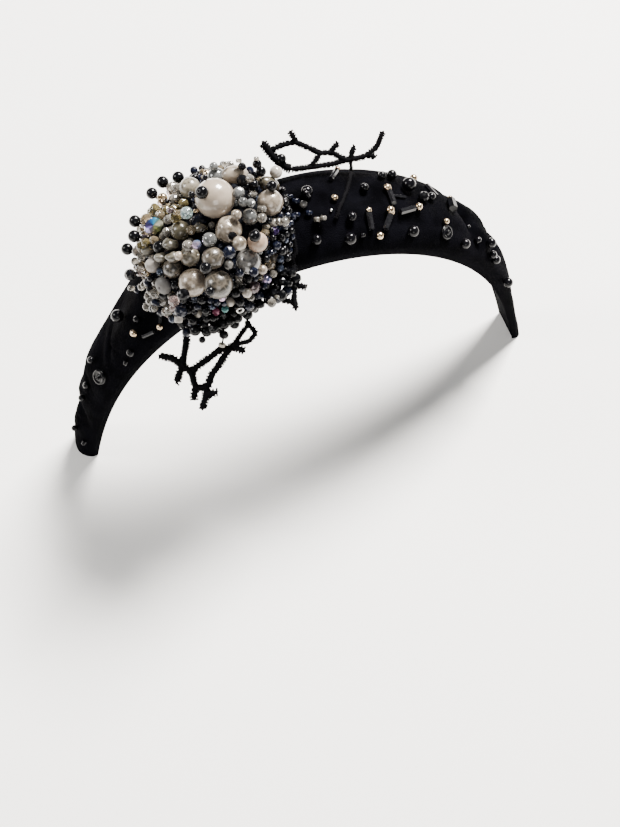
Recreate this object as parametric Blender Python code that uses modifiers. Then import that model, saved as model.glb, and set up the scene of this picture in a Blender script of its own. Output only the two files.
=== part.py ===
"""Padded velvet headband with a bead cluster and lace twigs, standing on its two cut ends.

Metres, +Z up. The arch lies in the XZ plane and its wearer looks along -Y, so the cluster on the
wearer's right is at -X. The origin is on the surface it stands on, at the middle of the whole box.
"""
import math
import random

import bmesh
import bpy
import numpy as np
from mathutils import Matrix, Vector
from mathutils.bvhtree import BVHTree

MM = 0.001
GAP = 0.3 * MM
MERGE = 0.00001

# Where the middle of the whole box lies, from the top of the arch's middle plane
BOX_SHIFT_X = -1.02 * MM
BOX_SHIFT_Y = 10.02 * MM

# Arch: the band's inner line, from the top to a cut end
HALF_LENGTH = 124.8 * MM
END_ANGLE = math.radians(77.45)
STRAIGHTENING = 0.456
FOOT_TRIM = 1.6 * MM
ARCH_STEPS = 400

# Band: padded D section
TOP_WIDTH = 34.3 * MM
END_WIDTH = 12.6 * MM
WIDTH_FALL = 1.8
TOP_DEPTH = 11.2 * MM
END_DEPTH = 5.0 * MM
EDGE_SHARE = 0.30
CROWN_POWER = 2.4
BAND_STATIONS = 84
CROWN_POINTS = 9
INSIDE_SHARES = (0.94, 0.0, -0.94)

# Puffs and creases of the velvet: place and half size in mm, height in mm, turn in degrees
FOLDS = [
    # along, across, half_length, half_width, height, turn
    (47.0, 3.0, 7.0, 12.0, 0.5, 0.0),
    (54.5, 0.0, 3.0, 12.0, -2.3, 15.0),
    (63.0, 2.0, 5.0, 9.0, 0.6, 0.0),
    (71.0, 0.0, 2.6, 10.0, -1.7, -12.0),
    (77.0, 0.0, 4.0, 8.0, 0.3, 0.0),
    (104.0, 0.0, 20.0, 14.0, -2.6, 0.0),
    (20.0, -10.5, 46.0, 2.0, -0.9, 2.0),
    (22.0, -6.5, 44.0, 3.0, 0.8, 2.0),
    (16.0, -1.0, 6.0, 1.8, -0.8, 8.0),
    (-64.0, 9.0, 11.0, 9.0, -3.2, 15.0),
    (-76.0, 0.0, 2.4, 9.0, -1.1, -30.0),
    (-84.0, 1.0, 6.0, 9.0, 1.6, 0.0),
    (-98.0, 3.0, 5.0, 7.0, 1.2, 0.0),
    (-104.0, 0.0, 2.4, 8.0, -1.4, -25.0),
    (-112.0, 0.0, 7.0, 7.0, 1.6, 0.0),
    (-122.0, 0.0, 6.0, 7.0, 1.2, 0.0),
]

# Cluster: a dome on the band, its middle this far from the top of the arch
CLUSTER_ALONG = -26.0 * MM
DOME_ALONG = 0.5 * MM
DOME_ACROSS = -2.0 * MM
DOME_HALF_LENGTH = 22.0 * MM
DOME_HALF_WIDTH = 19.0 * MM
DOME_HEIGHT = 13.5 * MM
DOME_DROP = 5.0 * MM
FOCUS_DROP = 4.0 * MM
SEAT_START = 60.0 * MM
SEAT_NEAR = 0.03 * MM
SEAT_CAUTION = 0.9
BUGLE_STEP = 0.05 * MM

# Small beads of the cluster's ground, in rings round the dome, fused to it
GROUND_RINGS = [
    # tilt from the dome's top in degrees, first and last turn, number of beads, diameter in mm
    (37.0, 88.0, 208.0, 5, 3.6),
    (60.0, 0.0, 336.0, 15, 3.6),
    (82.0, 9.0, 351.0, 20, 3.8),
    (102.0, 218.0, 322.0, 7, 4.0),
]

# Main beads: the ray from the dome's focus that each lies on, degrees round from the band's
# direction towards the top and degrees down from the dome's middle
CLUSTER_BEADS = [
    # name, shape, diameter, turn, tilt, material
    ("off_white_bead", "round", 4.5, 205, 44, "pearl_cream"),
    ("cream_pearl_low", "round", 8.5, 249, 52, "pearl_cream"),
    ("crackle_ball_low", "capped", 8.5, 270, 57, "crackle"),
    ("marbled_pearl", "round", 7.5, 298, 60, "pearl_grey"),
    ("crackle_ball_left", "round", 6.0, 228, 42, "crackle"),
    ("frosted_lens", "lens", 5.5, 221, 54, "glass_grey"),
    ("black_crystal_low", "cut", 4.0, 235, 63, "black_glass"),
    ("crackle_ball_mid", "round", 6.6, 278, 42, "crackle"),
    ("cream_glass_left", "round", 6.0, 251, 34, "glass_cream"),
    ("baroque_pearl", "baroque", 8.0, 312, 37, "pearl_cream"),
    ("olive_glass_ball", "round", 6.0, 221, 13, "glass_olive"),
    ("ab_crystal_left", "cut", 6.0, 159, 31, "crystal"),
    ("cream_pearl_right", "round", 8.0, 349, 61, "pearl_cream"),
    ("peach_ball", "capped", 6.0, 311, 55, "peach"),
    ("cream_quartz_rear", "round", 6.5, 70, 29, "glass_cream"),
    ("grey_glass_rear", "round", 6.0, 41, 42, "glass_grey"),
    ("cream_oval_rear", "oval", 5.5, 22, 46, "glass_cream"),
    ("smoky_oval", "oval", 5.0, 12, 70, "glass_grey"),
    ("white_pearl_rear", "round", 4.0, 31, 86, "pearl_cream"),
    ("navy_crystal", "cut", 5.0, 308, 12, "navy"),
    ("clear_crystal_mid", "cut", 5.0, 335, 49, "crystal"),
    ("ivory_ball", "capped", 12.0, 352, 24, "ivory"),
]

LARGE_BEAD = 5.0 * MM
SMALL_BEAD = 2.4 * MM

# Pin beads: a round head and a small clear bead on a short stem
PIN_BEADS = [
    # name, head diameter, turn, tilt, stem length
    ("pin_bead_a", 3.8, 90, 59, 5.0),
    ("pin_bead_b", 3.8, 102, 56, 6.0),
    ("pin_bead_c", 3.6, 115, 50, 6.0),
    ("pin_bead_d", 3.8, 146, 47, 5.0),
    ("pin_bead_e", 3.8, 162, 46, 5.0),
    ("pin_bead_f", 3.8, 157, 69, 5.0),
    ("pin_bead_g", 3.6, 189, 58, 5.0),
    ("pin_bead_h", 3.8, 205, 30, 5.0),
]
STEM_RADIUS = 0.5 * MM
PIN_BEAD_RADIUS = 1.3 * MM
PIN_BEAD_SHARE = 0.35
RIMMED_SHARE = 0.36
# Small bead on the end of a large bead's hole
CAPS = {
    # bead: turn and tilt of the hole, radius as a share of the bead's
    "ivory_ball": (231.0, 18.0, 0.33),
    "peach_ball": (309.0, 16.0, 0.60),
    "crackle_ball_low": (237.0, 50.0, 0.33),
}
CAP_SEAT = 0.75

# Beads sewn on the band, mm along from the top and across from the middle
BAND_BEADS = [
    # name, shape, diameter, along, across
    ("lentil_bead_left", "rimmed", 5.2, -80.5, -6.5),
    ("lentil_bead_right", "rimmed", 4.6, 42.0, -11.5),
    ("black_bead_rear_left", "round", 4.1, -60.5, -0.5),
    ("black_bead_top", "round", 3.8, 2.5, 2.0),
    ("black_bead_front_a", "round", 3.2, 0.5, -13.5),
    ("black_bead_front_b", "round", 3.8, 9.5, -15.0),
    ("black_bead_right_a", "round", 4.4, 32.0, 2.5),
    ("black_bead_right_c", "round", 3.7, 29.0, -13.5),
    ("black_bead_right_d", "round", 3.3, 63.5, -7.5),
]

# Bugles sewn on the band: place of the middle, length, diameter in mm, turn from the band's direction
BUGLES = [
    # name, length, diameter, along, across, turn
    ("bugle_rear", 6.0, 1.6, 12.0, 8.8, 51.0),
    ("bugle_mid", 5.8, 1.8, 25.0, -3.0, 82.0),
    ("bugle_front_a", 5.4, 2.0, 21.7, -10.9, 60.0),
    ("bugle_front_b", 5.4, 2.0, 16.5, -10.5, 88.0),
    ("bugle_block", 4.6, 3.0, 45.8, -1.9, 75.0),
]

# Lace twigs: round strips, thinner in each side chain and at their ends
LACE_RADIUS = 0.85 * MM
LACE_BEVEL = 1
LACE_THINNING = 0.97
THREAD_RADIUS = 0.5 * MM
LACE_TIP_SHARE = 0.6
LACE_CLEARANCE = 1.35 * MM
LACE_END_CLEARANCE = 0.95 * MM
LACE_STRAND_CLEARANCE = 1.2 * MM
LACE_STEP = 5.0 * MM
STRAND_STEP = 2.5 * MM
FRONT_PLANE_OUT = 17.6 * MM
FRONT_PLANE_DROP = 7.0 * MM
FRONT_PLANE_TILT = math.radians(25.0)
REAR_PLANE_ORIGIN = Vector((-0.6, 11.0, 10.3)) * MM
REAR_PLANE_TILT = math.radians(35.0)

# Twig joints in the plane in front of the band: mm along it and mm out from its edge
LOWER_JOINTS = {
    "root": (-17.5, 0.3), "stem": (-20.5, 6.0), "fork_a": (-24.5, 11.5), "arm_a": (-26.0, 8.0), "tip_a": (-30.0, 4.5),
    "arm_b": (-26.5, 12.8), "tip_b": (-29.5, 15.5), "fork_b": (-22.8, 14.5), "bridge_a": (-16.5, 13.6),
    "bridge_b": (-11.5, 12.7), "fork_c": (-24.0, 19.5), "tip_c": (-26.5, 23.0), "fork_d": (-20.5, 21.0),
    "rise_a": (-18.5, 18.8), "rise_b": (-13.0, 16.0), "fork_e": (-8.4, 13.6), "arm_d": (-22.3, 23.5),
    "tip_d": (-25.5, 27.0), "tip_e": (-17.8, 24.0), "tip_f": (-5.0, 17.4), "loop_a": (-4.2, 11.5),
    "loop_b": (-0.3, 9.6), "loop_c": (0.6, 12.8), "loop_d": (-2.5, 15.2), "hold": (0.2, 0.4),
}
LOWER_CHAINS = [
    "root stem fork_a fork_b fork_c fork_d rise_a rise_b fork_e",
    "fork_a arm_a tip_a",
    "fork_a arm_b tip_b",
    "fork_b bridge_a bridge_b fork_e",
    "fork_c tip_c",
    "fork_d arm_d tip_d",
    "arm_d tip_e",
    "fork_e tip_f",
    "fork_e loop_a loop_b",
    "loop_b loop_c loop_d fork_e",
    "loop_b hold",
]
LOWER_ENDS = ("root", "hold")
# The last of those chains is a thin thread
LOWER_THREADS = 1
FRONT_JOINTS = {
    "edge": (20.5, 0.6), "mid": (17.5, 6.5), "fork": (15.2, 11.0), "end": (14.0, 14.0), "spur": (20.8, 9.4),
    "arm": (11.2, 7.4),
}
FRONT_CHAINS = [
    "edge mid fork end",
    "mid spur",
    "fork arm",
]
FRONT_ENDS = ("edge",)
# Twig joints in the plane that leans back over the band's rear: mm along it and mm up it
UPPER_JOINTS = {
    "tip_a": (-5.5, 14.0), "bend_a": (-4.0, 10.5), "low_a": (-2.5, 8.0), "low_b": (-1.0, 5.5), "low_c": (2.0, 3.2),
    "low_d": (8.0, 2.2), "low_e": (14.0, 1.6), "hub": (21.0, 1.4), "arc": (-0.2, 11.2), "fork_a": (5.0, 11.0),
    "tip_b": (3.6, 15.4), "top_a": (10.5, 6.9), "fork_b": (12.0, 5.6), "down": (9.4, 3.6), "top_b": (15.0, 5.2),
    "tip_c": (19.0, 7.6), "top_c": (17.6, 3.2), "tip_d": (23.8, 5.6), "right_a": (26.5, 1.4), "right_b": (30.5, 3.4),
    "tip_e": (33.7, 8.0), "tip_f": (29.6, -0.2),
}
UPPER_CHAINS = [
    "tip_a bend_a low_a low_b low_c low_d low_e hub right_a right_b tip_e",
    "bend_a arc fork_a top_a fork_b top_b tip_c",
    "fork_a tip_b",
    "fork_b down low_d",
    "top_b top_c hub tip_d",
    "right_a tip_f",
]
# Strand of the upper twig that lies over the band: mm along and across
UPPER_STRAND = [(17.5, 10.0), (14.8, 4.5), (12.6, 0.0), (10.4, -4.0), (7.0, -8.8)]
# Strand of the front twig that lies on the band's front
FRONT_STRAND = [(-5.5, -14.5), (-5.0, -11.0), (-4.5, -7.5)]

MATERIALS = {
    # red, green, blue, roughness, metallic
    "velvet": (0.006, 0.006, 0.010, 0.90, 0.0),
    "black_glass": (0.010, 0.010, 0.012, 0.10, 0.0),
    "lace": (0.012, 0.012, 0.014, 0.80, 0.0),
    "ground": (0.030, 0.035, 0.055, 0.30, 0.0),
    "ivory": (0.800, 0.760, 0.680, 0.20, 0.0),
    "pearl_cream": (0.720, 0.670, 0.570, 0.25, 0.0),
    "pearl_grey": (0.480, 0.470, 0.450, 0.25, 0.0),
    "crackle": (0.600, 0.580, 0.520, 0.20, 0.0),
    "glass_cream": (0.620, 0.580, 0.470, 0.15, 0.0),
    "glass_grey": (0.400, 0.420, 0.430, 0.15, 0.0),
    "glass_olive": (0.360, 0.350, 0.250, 0.15, 0.0),
    "crystal": (0.600, 0.640, 0.660, 0.05, 0.0),
    "navy": (0.020, 0.030, 0.070, 0.08, 0.0),
    "peach": (0.680, 0.560, 0.450, 0.35, 0.0),
    "gunmetal": (0.200, 0.200, 0.220, 0.20, 0.8),
}


def clear_scene():
    for old in list(bpy.data.objects):
        bpy.data.objects.remove(old, do_unlink=True)


def new_collection(name):
    group = bpy.data.collections.new(name)
    bpy.context.scene.collection.children.link(group)
    return group


def make_materials():
    made = {}
    for name, (red, green, blue, roughness, metallic) in MATERIALS.items():
        material = bpy.data.materials.new(name)
        material.use_nodes = True
        shader = material.node_tree.nodes["Principled BSDF"]
        shader.inputs["Base Color"].default_value = (red, green, blue, 1.0)
        shader.inputs["Roughness"].default_value = roughness
        shader.inputs["Metallic"].default_value = metallic
        made[name] = material
    return made


def add_part(name, mesh, material, smooth=True):
    """Object of one sub-part, hung on the empty that puts the origin under the middle of the box."""
    part = bpy.data.objects.new(name, mesh)
    PARTS.objects.link(part)
    part.data.materials.append(MADE[material])
    if smooth:
        mesh.shade_smooth()
    part.parent = ROOT
    return part


def mesh_from(work, name):
    bmesh.ops.recalc_face_normals(work, faces=work.faces)
    mesh = bpy.data.meshes.new(name)
    work.to_mesh(mesh)
    work.free()
    return mesh


def evaluated_tree(part):
    """Tree of a part's evaluated surface, in the frame of the arch."""
    depsgraph = bpy.context.evaluated_depsgraph_get()
    depsgraph.update()
    return BVHTree.FromObject(part, depsgraph)


def arch_line():
    """Distances along the inner line with its points and slopes; Z is 0 at the cut ends."""
    along = np.linspace(-HALF_LENGTH, HALF_LENGTH, 2 * ARCH_STEPS + 1)
    share = np.abs(along) / HALF_LENGTH
    slope = np.sign(along) * END_ANGLE * ((1 + STRAIGHTENING) * share - STRAIGHTENING * share ** 3)
    step = along[1] - along[0]
    run = np.cos(slope)
    fall = -np.sin(slope)
    x = np.concatenate([[0.0], np.cumsum((run[1:] + run[:-1]) / 2 * step)])
    z = np.concatenate([[0.0], np.cumsum((fall[1:] + fall[:-1]) / 2 * step)])
    x = x - x[ARCH_STEPS]
    z = z - z[-1] - FOOT_TRIM
    return along, x, z, slope


ALONG, ARCH_X, ARCH_Z, SLOPE = arch_line()


def arch_frame(along):
    """Point of the inner line, the direction out of the arch and the direction along it."""
    x = float(np.interp(along, ALONG, ARCH_X))
    z = float(np.interp(along, ALONG, ARCH_Z))
    slope = float(np.interp(along, ALONG, SLOPE))
    outward = Vector((math.sin(slope), 0.0, math.cos(slope)))
    forward = Vector((math.cos(slope), 0.0, -math.sin(slope)))
    return Vector((x, 0.0, z)), outward, forward


def band_width(along):
    share = min(abs(along) / HALF_LENGTH, 1.0)
    return END_WIDTH + (TOP_WIDTH - END_WIDTH) * (1 - share ** 2) ** WIDTH_FALL


def band_depth(along):
    share = min(abs(along) / HALF_LENGTH, 1.0)
    return END_DEPTH + (TOP_DEPTH - END_DEPTH) * (1 - share ** 2)


def fold_height(along, across):
    """Sum of the puffs and creases at a place on the crown."""
    total = 0.0
    for fold_along, fold_across, half_length, half_width, height, turn in FOLDS:
        u = along / MM - fold_along
        v = across / MM - fold_across
        c, s = math.cos(math.radians(turn)), math.sin(math.radians(turn))
        p = (u * c + v * s) / half_length
        q = (v * c - u * s) / half_width
        total += height * math.exp(-p * p - q * q)
    return total * MM


def crown_point(along, share, grow=0.0):
    """Point on the padded crown; share runs from -1 at the front edge to 1 at the rear edge."""
    base, outward, _ = arch_frame(along)
    across = share * band_width(along) / 2
    rise = EDGE_SHARE + (1 - EDGE_SHARE) * (1 - min(abs(share), 1.0) ** CROWN_POWER) ** 0.5
    fade = 1 - share ** 4
    height = band_depth(along) * rise + fade * fold_height(along, across) + grow
    return base + outward * height + Vector((0.0, across + math.copysign(grow, share) * abs(share), 0.0))


def band_ring(along, grow):
    """Points round the band at one station, front to rear over the crown and back inside."""
    base, outward, _ = arch_frame(along)
    ring = []
    for k in range(CROWN_POINTS):
        share = -math.cos(math.pi * k / (CROWN_POINTS - 1))
        ring.append(crown_point(along, share, grow))
    for share in INSIDE_SHARES:
        across = share * (band_width(along) / 2 + grow)
        ring.append(base - outward * grow + Vector((0.0, across, 0.0)))
    return ring


def band_mesh(name, grow=0.0, cut_flat=True):
    """Loft through the stations, cut level at the two ends."""
    work = bmesh.new()
    rings = []
    for k in range(BAND_STATIONS + 1):
        along = -HALF_LENGTH + 2 * HALF_LENGTH * k / BAND_STATIONS
        rings.append([work.verts.new(p) for p in band_ring(along, grow)])
    count = len(rings[0])
    for first, second in zip(rings, rings[1:]):
        for k in range(count):
            work.faces.new((first[k], first[(k + 1) % count], second[(k + 1) % count], second[k]))
    work.faces.new(rings[0])
    work.faces.new(list(reversed(rings[-1])))
    if cut_flat:
        everything = list(work.verts) + list(work.edges) + list(work.faces)
        bmesh.ops.bisect_plane(work, geom=everything, dist=1e-7, plane_co=(0, 0, 0), plane_no=(0, 0, -1), clear_outer=True)
        bmesh.ops.holes_fill(work, edges=[e for e in work.edges if e.is_boundary], sides=0)
    return mesh_from(work, name)


def make_band():
    return add_part("velvet_band", band_mesh("velvet_band"), "velvet")


def cluster_frame():
    """Matrix of the cluster: X along the band towards its top, Y to the rear, Z out of the band."""
    base, outward, forward = arch_frame(CLUSTER_ALONG)
    origin = crown_point(CLUSTER_ALONG, 0.0)
    rows = Matrix((forward, Vector((0.0, 1.0, 0.0)), outward)).transposed()
    return Matrix.Translation(origin) @ rows.to_4x4()


CLUSTER = cluster_frame()
FOCUS = CLUSTER @ Vector((DOME_ALONG, DOME_ACROSS, -FOCUS_DROP))


def dome_point(turn, tilt):
    """Point of the dome: a rounded bun over the band, flat below."""
    ring = math.sin(tilt) ** (2.0 / 3.0) if math.sin(tilt) > 0 else 0.0
    height = DOME_HEIGHT * math.cos(tilt) if tilt <= math.pi / 2 else DOME_DROP * math.cos(tilt)
    x = DOME_ALONG + DOME_HALF_LENGTH * ring * math.cos(turn)
    y = DOME_ACROSS + DOME_HALF_WIDTH * ring * math.sin(turn)
    return Vector((x, y, height))


def ray_direction(turn, tilt):
    turn, tilt = math.radians(turn), math.radians(tilt)
    local = Vector((math.sin(tilt) * math.cos(turn), math.sin(tilt) * math.sin(turn), math.cos(tilt)))
    return (CLUSTER.to_3x3() @ local).normalized()


def ball_mesh(name, radius, sides, rings):
    work = bmesh.new()
    bmesh.ops.create_uvsphere(work, u_segments=sides, v_segments=rings, radius=radius)
    return mesh_from(work, name)


def make_cluster_base():
    """Dome with the small beads of its ground, cut to sit on the band."""
    work = bmesh.new()
    bmesh.ops.create_uvsphere(work, u_segments=24, v_segments=14, radius=1.0)
    for vert in work.verts:
        turn = math.atan2(vert.co.y, vert.co.x)
        tilt = math.acos(max(-1.0, min(1.0, vert.co.z)))
        vert.co = CLUSTER @ dome_point(turn, tilt)
    base = add_part("cluster_base", mesh_from(work, "cluster_base"), "ground", smooth=False)
    picker = random.Random(4)
    for ring, (tilt, first, last, count, diameter) in enumerate(GROUND_RINGS):
        for k in range(count):
            turn = math.radians(first + (last - first) * k / (count - 1))
            lean = math.radians(tilt + picker.uniform(-3, 3))
            radius = diameter * MM / 2 * picker.uniform(0.9, 1.1)
            bead = bpy.data.objects.new(f"ground_bead_{ring}_{k}", ball_mesh("ground_bead", radius, 10, 6))
            bead.location = CLUSTER @ dome_point(turn, lean)
            hide_tool(bead)
            GROUND.objects.link(bead)
    union = base.modifiers.new("ground_beads", "BOOLEAN")
    union.operation = "UNION"
    union.operand_type = "COLLECTION"
    union.collection = GROUND
    union.solver = "EXACT"
    seat = bpy.data.objects.new("band_seat", band_mesh("band_seat", grow=GAP, cut_flat=False))
    TOOLS.objects.link(seat)
    hide_tool(seat)
    cut = base.modifiers.new("band_seat", "BOOLEAN")
    cut.operation = "DIFFERENCE"
    cut.object = seat
    cut.solver = "EXACT"
    return base


def hide_tool(tool):
    tool.hide_render = True
    tool.display_type = "WIRE"
    tool.parent = ROOT


class Seats:
    """What is already in place: surfaces as trees and beads as balls."""

    def __init__(self):
        self.trees = []
        self.balls = []

    def clearance(self, centre, radius):
        least = 1.0
        for tree in self.trees:
            _, _, _, distance = tree.find_nearest(centre)
            least = min(least, distance - radius)
        for other, other_radius in self.balls:
            least = min(least, (centre - other).length - other_radius - radius)
        return least

    def bring_in(self, start, direction, balls):
        """Moves balls in along a ray until one comes within the gap; returns the distance left."""
        distance = SEAT_START
        while distance > 0:
            centre = start + direction * distance
            spare = min(self.clearance(centre + offset, radius) for offset, radius in balls) - GAP
            if spare < SEAT_NEAR:
                break
            distance -= max(spare * SEAT_CAUTION, SEAT_NEAR)
        return distance

    def add(self, centre, balls):
        self.balls += [(centre + offset, radius) for offset, radius in balls]


def add_turned(name, profile, sides, material, smooth=True):
    """Profile of (radius, height) points, top to bottom, turned about the object's Z axis."""
    mesh = bpy.data.meshes.new(name)
    mesh.from_pydata([(radius, 0.0, height) for radius, height in profile],
                     [(k, k + 1) for k in range(len(profile) - 1)], [])
    part = add_part(name, mesh, material, smooth=False)
    screw = part.modifiers.new("turned", "SCREW")
    screw.steps = sides
    screw.render_steps = sides
    screw.use_smooth_shade = smooth
    screw.use_merge_vertices = True
    screw.merge_threshold = MERGE
    return part


def arc_points(radius, centre, start, end, count):
    """Profile points of an arc; angles are degrees down from the top."""
    points = []
    for k in range(count):
        angle = math.radians(start + (end - start) * k / (count - 1))
        points.append((max(radius * math.sin(angle), 0.0), centre + radius * math.cos(angle)))
    return points


def capped_profile(radius, share):
    """Ball with a small bead on the end of its hole, which points up."""
    cap = radius * share
    neck = 0.55 * cap
    below = math.degrees(math.asin(neck / radius))
    return (arc_points(cap, radius + CAP_SEAT * cap, 0, 145, 5)
            + arc_points(radius, 0.0, below, 180, 8))


def pin_profile(head, stem):
    """Round head, stem, small bead, stem, with the foot at height 0."""
    cut = math.degrees(math.asin(STEM_RADIUS / head))
    bead_cut = math.degrees(math.asin(STEM_RADIUS / PIN_BEAD_RADIUS))
    middle = stem * PIN_BEAD_SHARE
    return (arc_points(head, stem, 0, 180 - cut, 6)
            + arc_points(PIN_BEAD_RADIUS, middle, bead_cut, 180 - bead_cut, 4)
            + [(STEM_RADIUS, 0.0), (0.0, 0.0)])


def cut_profile(radius):
    """Table, crown, girdle and pavilion of a cut bead."""
    return [(0.0, 0.86 * radius), (0.46 * radius, 0.86 * radius), (radius, 0.16 * radius),
            (radius, -0.16 * radius), (0.46 * radius, -0.86 * radius), (0.0, -0.86 * radius)]


def rimmed_profile(radius):
    """Flat lentil with a raised rim and a small bead at its middle."""
    return [(0.0, 0.52 * radius), (0.22 * radius, 0.46 * radius), (0.34 * radius, 0.22 * radius),
            (0.62 * radius, 0.20 * radius), (0.80 * radius, 0.36 * radius), (0.96 * radius, 0.22 * radius),
            (radius, 0.0), (0.86 * radius, -0.22 * radius), (0.0, -0.30 * radius)]


def make_bead(name, shape, radius, material):
    """Bead about its own origin, its hole along Z."""
    if shape == "capped":
        return add_turned(name, capped_profile(radius, CAPS[name][2]), 16 if radius > LARGE_BEAD else 12, material)
    if shape == "cut":
        return add_turned(name, cut_profile(radius), 8, material, smooth=False)
    if shape == "rimmed":
        return add_turned(name, rimmed_profile(radius), 14, material)
    mesh = ball_mesh(name, radius, 12, 8) if radius > SMALL_BEAD else ball_mesh(name, radius, 10, 6)
    if shape == "baroque":
        for vert in mesh.vertices:
            bump = math.sin(vert.co.x / radius * 4 + 1) * math.sin(vert.co.y / radius * 3.5) * 0.05
            vert.co *= 0.95 + bump
    if shape == "oval":
        mesh.transform(Matrix.Diagonal((1.55, 1.0, 1.0, 1.0)))
    if shape == "lens":
        mesh.transform(Matrix.Diagonal((1.0, 1.0, 0.62, 1.0)))
    return add_part(name, mesh, material)


def bead_balls(name, shape, radius, axis):
    """Balls that hold a bead, as offsets from its middle and radii."""
    if shape == "capped":
        share = CAPS[name][2]
        return [(Vector(), radius), (axis * radius * (1 + CAP_SEAT * share), radius * share)]
    if shape == "oval":
        side = turn_to(axis).to_3x3() @ Vector((radius * 0.6, 0.0, 0.0))
        return [(Vector(), radius), (side, radius * 0.95), (-side, radius * 0.95)]
    return [(Vector(), radius)]


def turn_to(direction):
    """Rotation that takes +Z to a direction and keeps +X as near the band's direction as it can."""
    sideways = CLUSTER.to_3x3() @ Vector((0.0, 1.0, 0.0))
    along = sideways.cross(direction).normalized()
    across = direction.cross(along)
    return Matrix((along, across, direction)).transposed().to_4x4()


def seat_bead(seats, name, shape, diameter, turn, tilt):
    """Middle, axis and balls of a bead brought in along its ray from the dome's focus."""
    direction = ray_direction(turn, tilt)
    axis = ray_direction(*CAPS[name][:2]) if name in CAPS else direction
    balls = bead_balls(name, shape, diameter * MM / 2, axis)
    return FOCUS + direction * seats.bring_in(FOCUS, direction, balls), axis, balls


def make_cluster_beads(seats):
    for name, shape, diameter, turn, tilt, material in CLUSTER_BEADS:
        centre, axis, balls = seat_bead(seats, name, shape, diameter, turn, tilt)
        bead = make_bead(name, shape, diameter * MM / 2, material)
        bead.matrix_local = Matrix.Translation(centre) @ turn_to(axis)
        seats.add(centre, balls)


def pin_balls(head, stem, direction):
    """Balls that hold a pin bead, as offsets from its foot and radii."""
    return [(direction * 0.5 * MM, STEM_RADIUS), (direction * stem * PIN_BEAD_SHARE, PIN_BEAD_RADIUS),
            (direction * stem, head)]


def make_pin_beads(seats):
    for name, diameter, turn, tilt, stem in PIN_BEADS:
        head = diameter * MM / 2
        stem = stem * MM
        direction = ray_direction(turn, tilt)
        balls = pin_balls(head, stem, direction)
        foot = FOCUS + direction * seats.bring_in(FOCUS, direction, balls)
        pin = add_turned(name, pin_profile(head, stem), 10, "black_glass")
        pin.matrix_local = Matrix.Translation(foot) @ turn_to(direction)
        seats.add(foot, balls)


def crown_place(seats, along, across):
    """Place on the crown at mm along and across, with the direction out of it."""
    along, across = along * MM, across * MM
    base, outward, forward = arch_frame(along)
    tree = seats.trees[0]
    source = base + Vector((0.0, across * 0.6, 0.0))
    target = crown_point(along, across / (band_width(along) / 2))
    direction = (target - source).normalized()
    place, normal, _, _ = tree.ray_cast(target + direction * 20 * MM, -direction)
    return place, normal, forward


def make_band_beads(seats):
    for name, shape, diameter, along, across in BAND_BEADS:
        radius = diameter * MM / 2
        place, normal, _ = crown_place(seats, along, across)
        balls = [(Vector(), radius * (RIMMED_SHARE if shape == "rimmed" else 1.0))]
        centre = place + normal * seats.bring_in(place, normal, balls)
        bead = make_bead(name, shape, radius, "black_glass")
        bead.matrix_local = Matrix.Translation(centre) @ turn_to(normal)
        seats.add(centre, [(Vector(), radius)])


def make_bugles(seats):
    """Six-sided tubes that lie on the velvet."""
    for name, length, diameter, along, across, turn in BUGLES:
        radius = diameter * MM / 2
        half = length * MM / 2
        place, normal, forward = crown_place(seats, along, across)
        side = normal.cross(forward).normalized()
        forward = side.cross(normal)
        angle = math.radians(turn)
        axis = (forward * math.cos(angle) + side * math.sin(angle)).normalized()
        distance = radius + GAP
        while min(seats.clearance(place + normal * distance + axis * half * k / 3, radius) for k in range(-3, 4)) < GAP:
            distance += BUGLE_STEP
        work = bmesh.new()
        bmesh.ops.create_cone(work, cap_ends=True, segments=6, radius1=radius, radius2=radius, depth=2 * half)
        bugle = add_part(name, mesh_from(work, name), "gunmetal", smooth=False)
        rows = Matrix((normal, axis.cross(normal), axis)).transposed().to_4x4()
        bugle.matrix_local = Matrix.Translation(place + normal * distance) @ rows
        seats.balls += [(place + normal * distance + axis * half * k / 3, radius) for k in range(-3, 4)]


def front_plane(out_along, out):
    """Point of the plane in front of the band that the lower and front twigs lie in."""
    local = Vector((out_along * MM, -FRONT_PLANE_OUT, -FRONT_PLANE_DROP))
    local += Vector((0.0, -math.cos(FRONT_PLANE_TILT), -math.sin(FRONT_PLANE_TILT))) * out * MM
    return CLUSTER @ local


def rear_plane(p, q):
    """Point of the plane that leans back over the band's rear edge."""
    base, _, _ = arch_frame(0.0)
    up = Vector((0.0, math.sin(REAR_PLANE_TILT), math.cos(REAR_PLANE_TILT)))
    return base + REAR_PLANE_ORIGIN + Vector((p * MM, 0.0, 0.0)) + up * q * MM


def push_clear(seats, point, distance):
    """Moves a point out until it is clear of every surface and bead."""
    for _ in range(30):
        moved = False
        for tree in seats.trees:
            near, normal, _, gap = tree.find_nearest(point)
            inside = (point - near).dot(normal) < 0
            if gap < distance or inside:
                point = near + normal * (distance + 0.02 * MM)
                moved = True
        for centre, radius in seats.balls:
            away = point - centre
            if away.length < radius + distance:
                point = centre + away.normalized() * (radius + distance + 0.02 * MM)
                moved = True
        if not moved:
            return point
    return point


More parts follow.
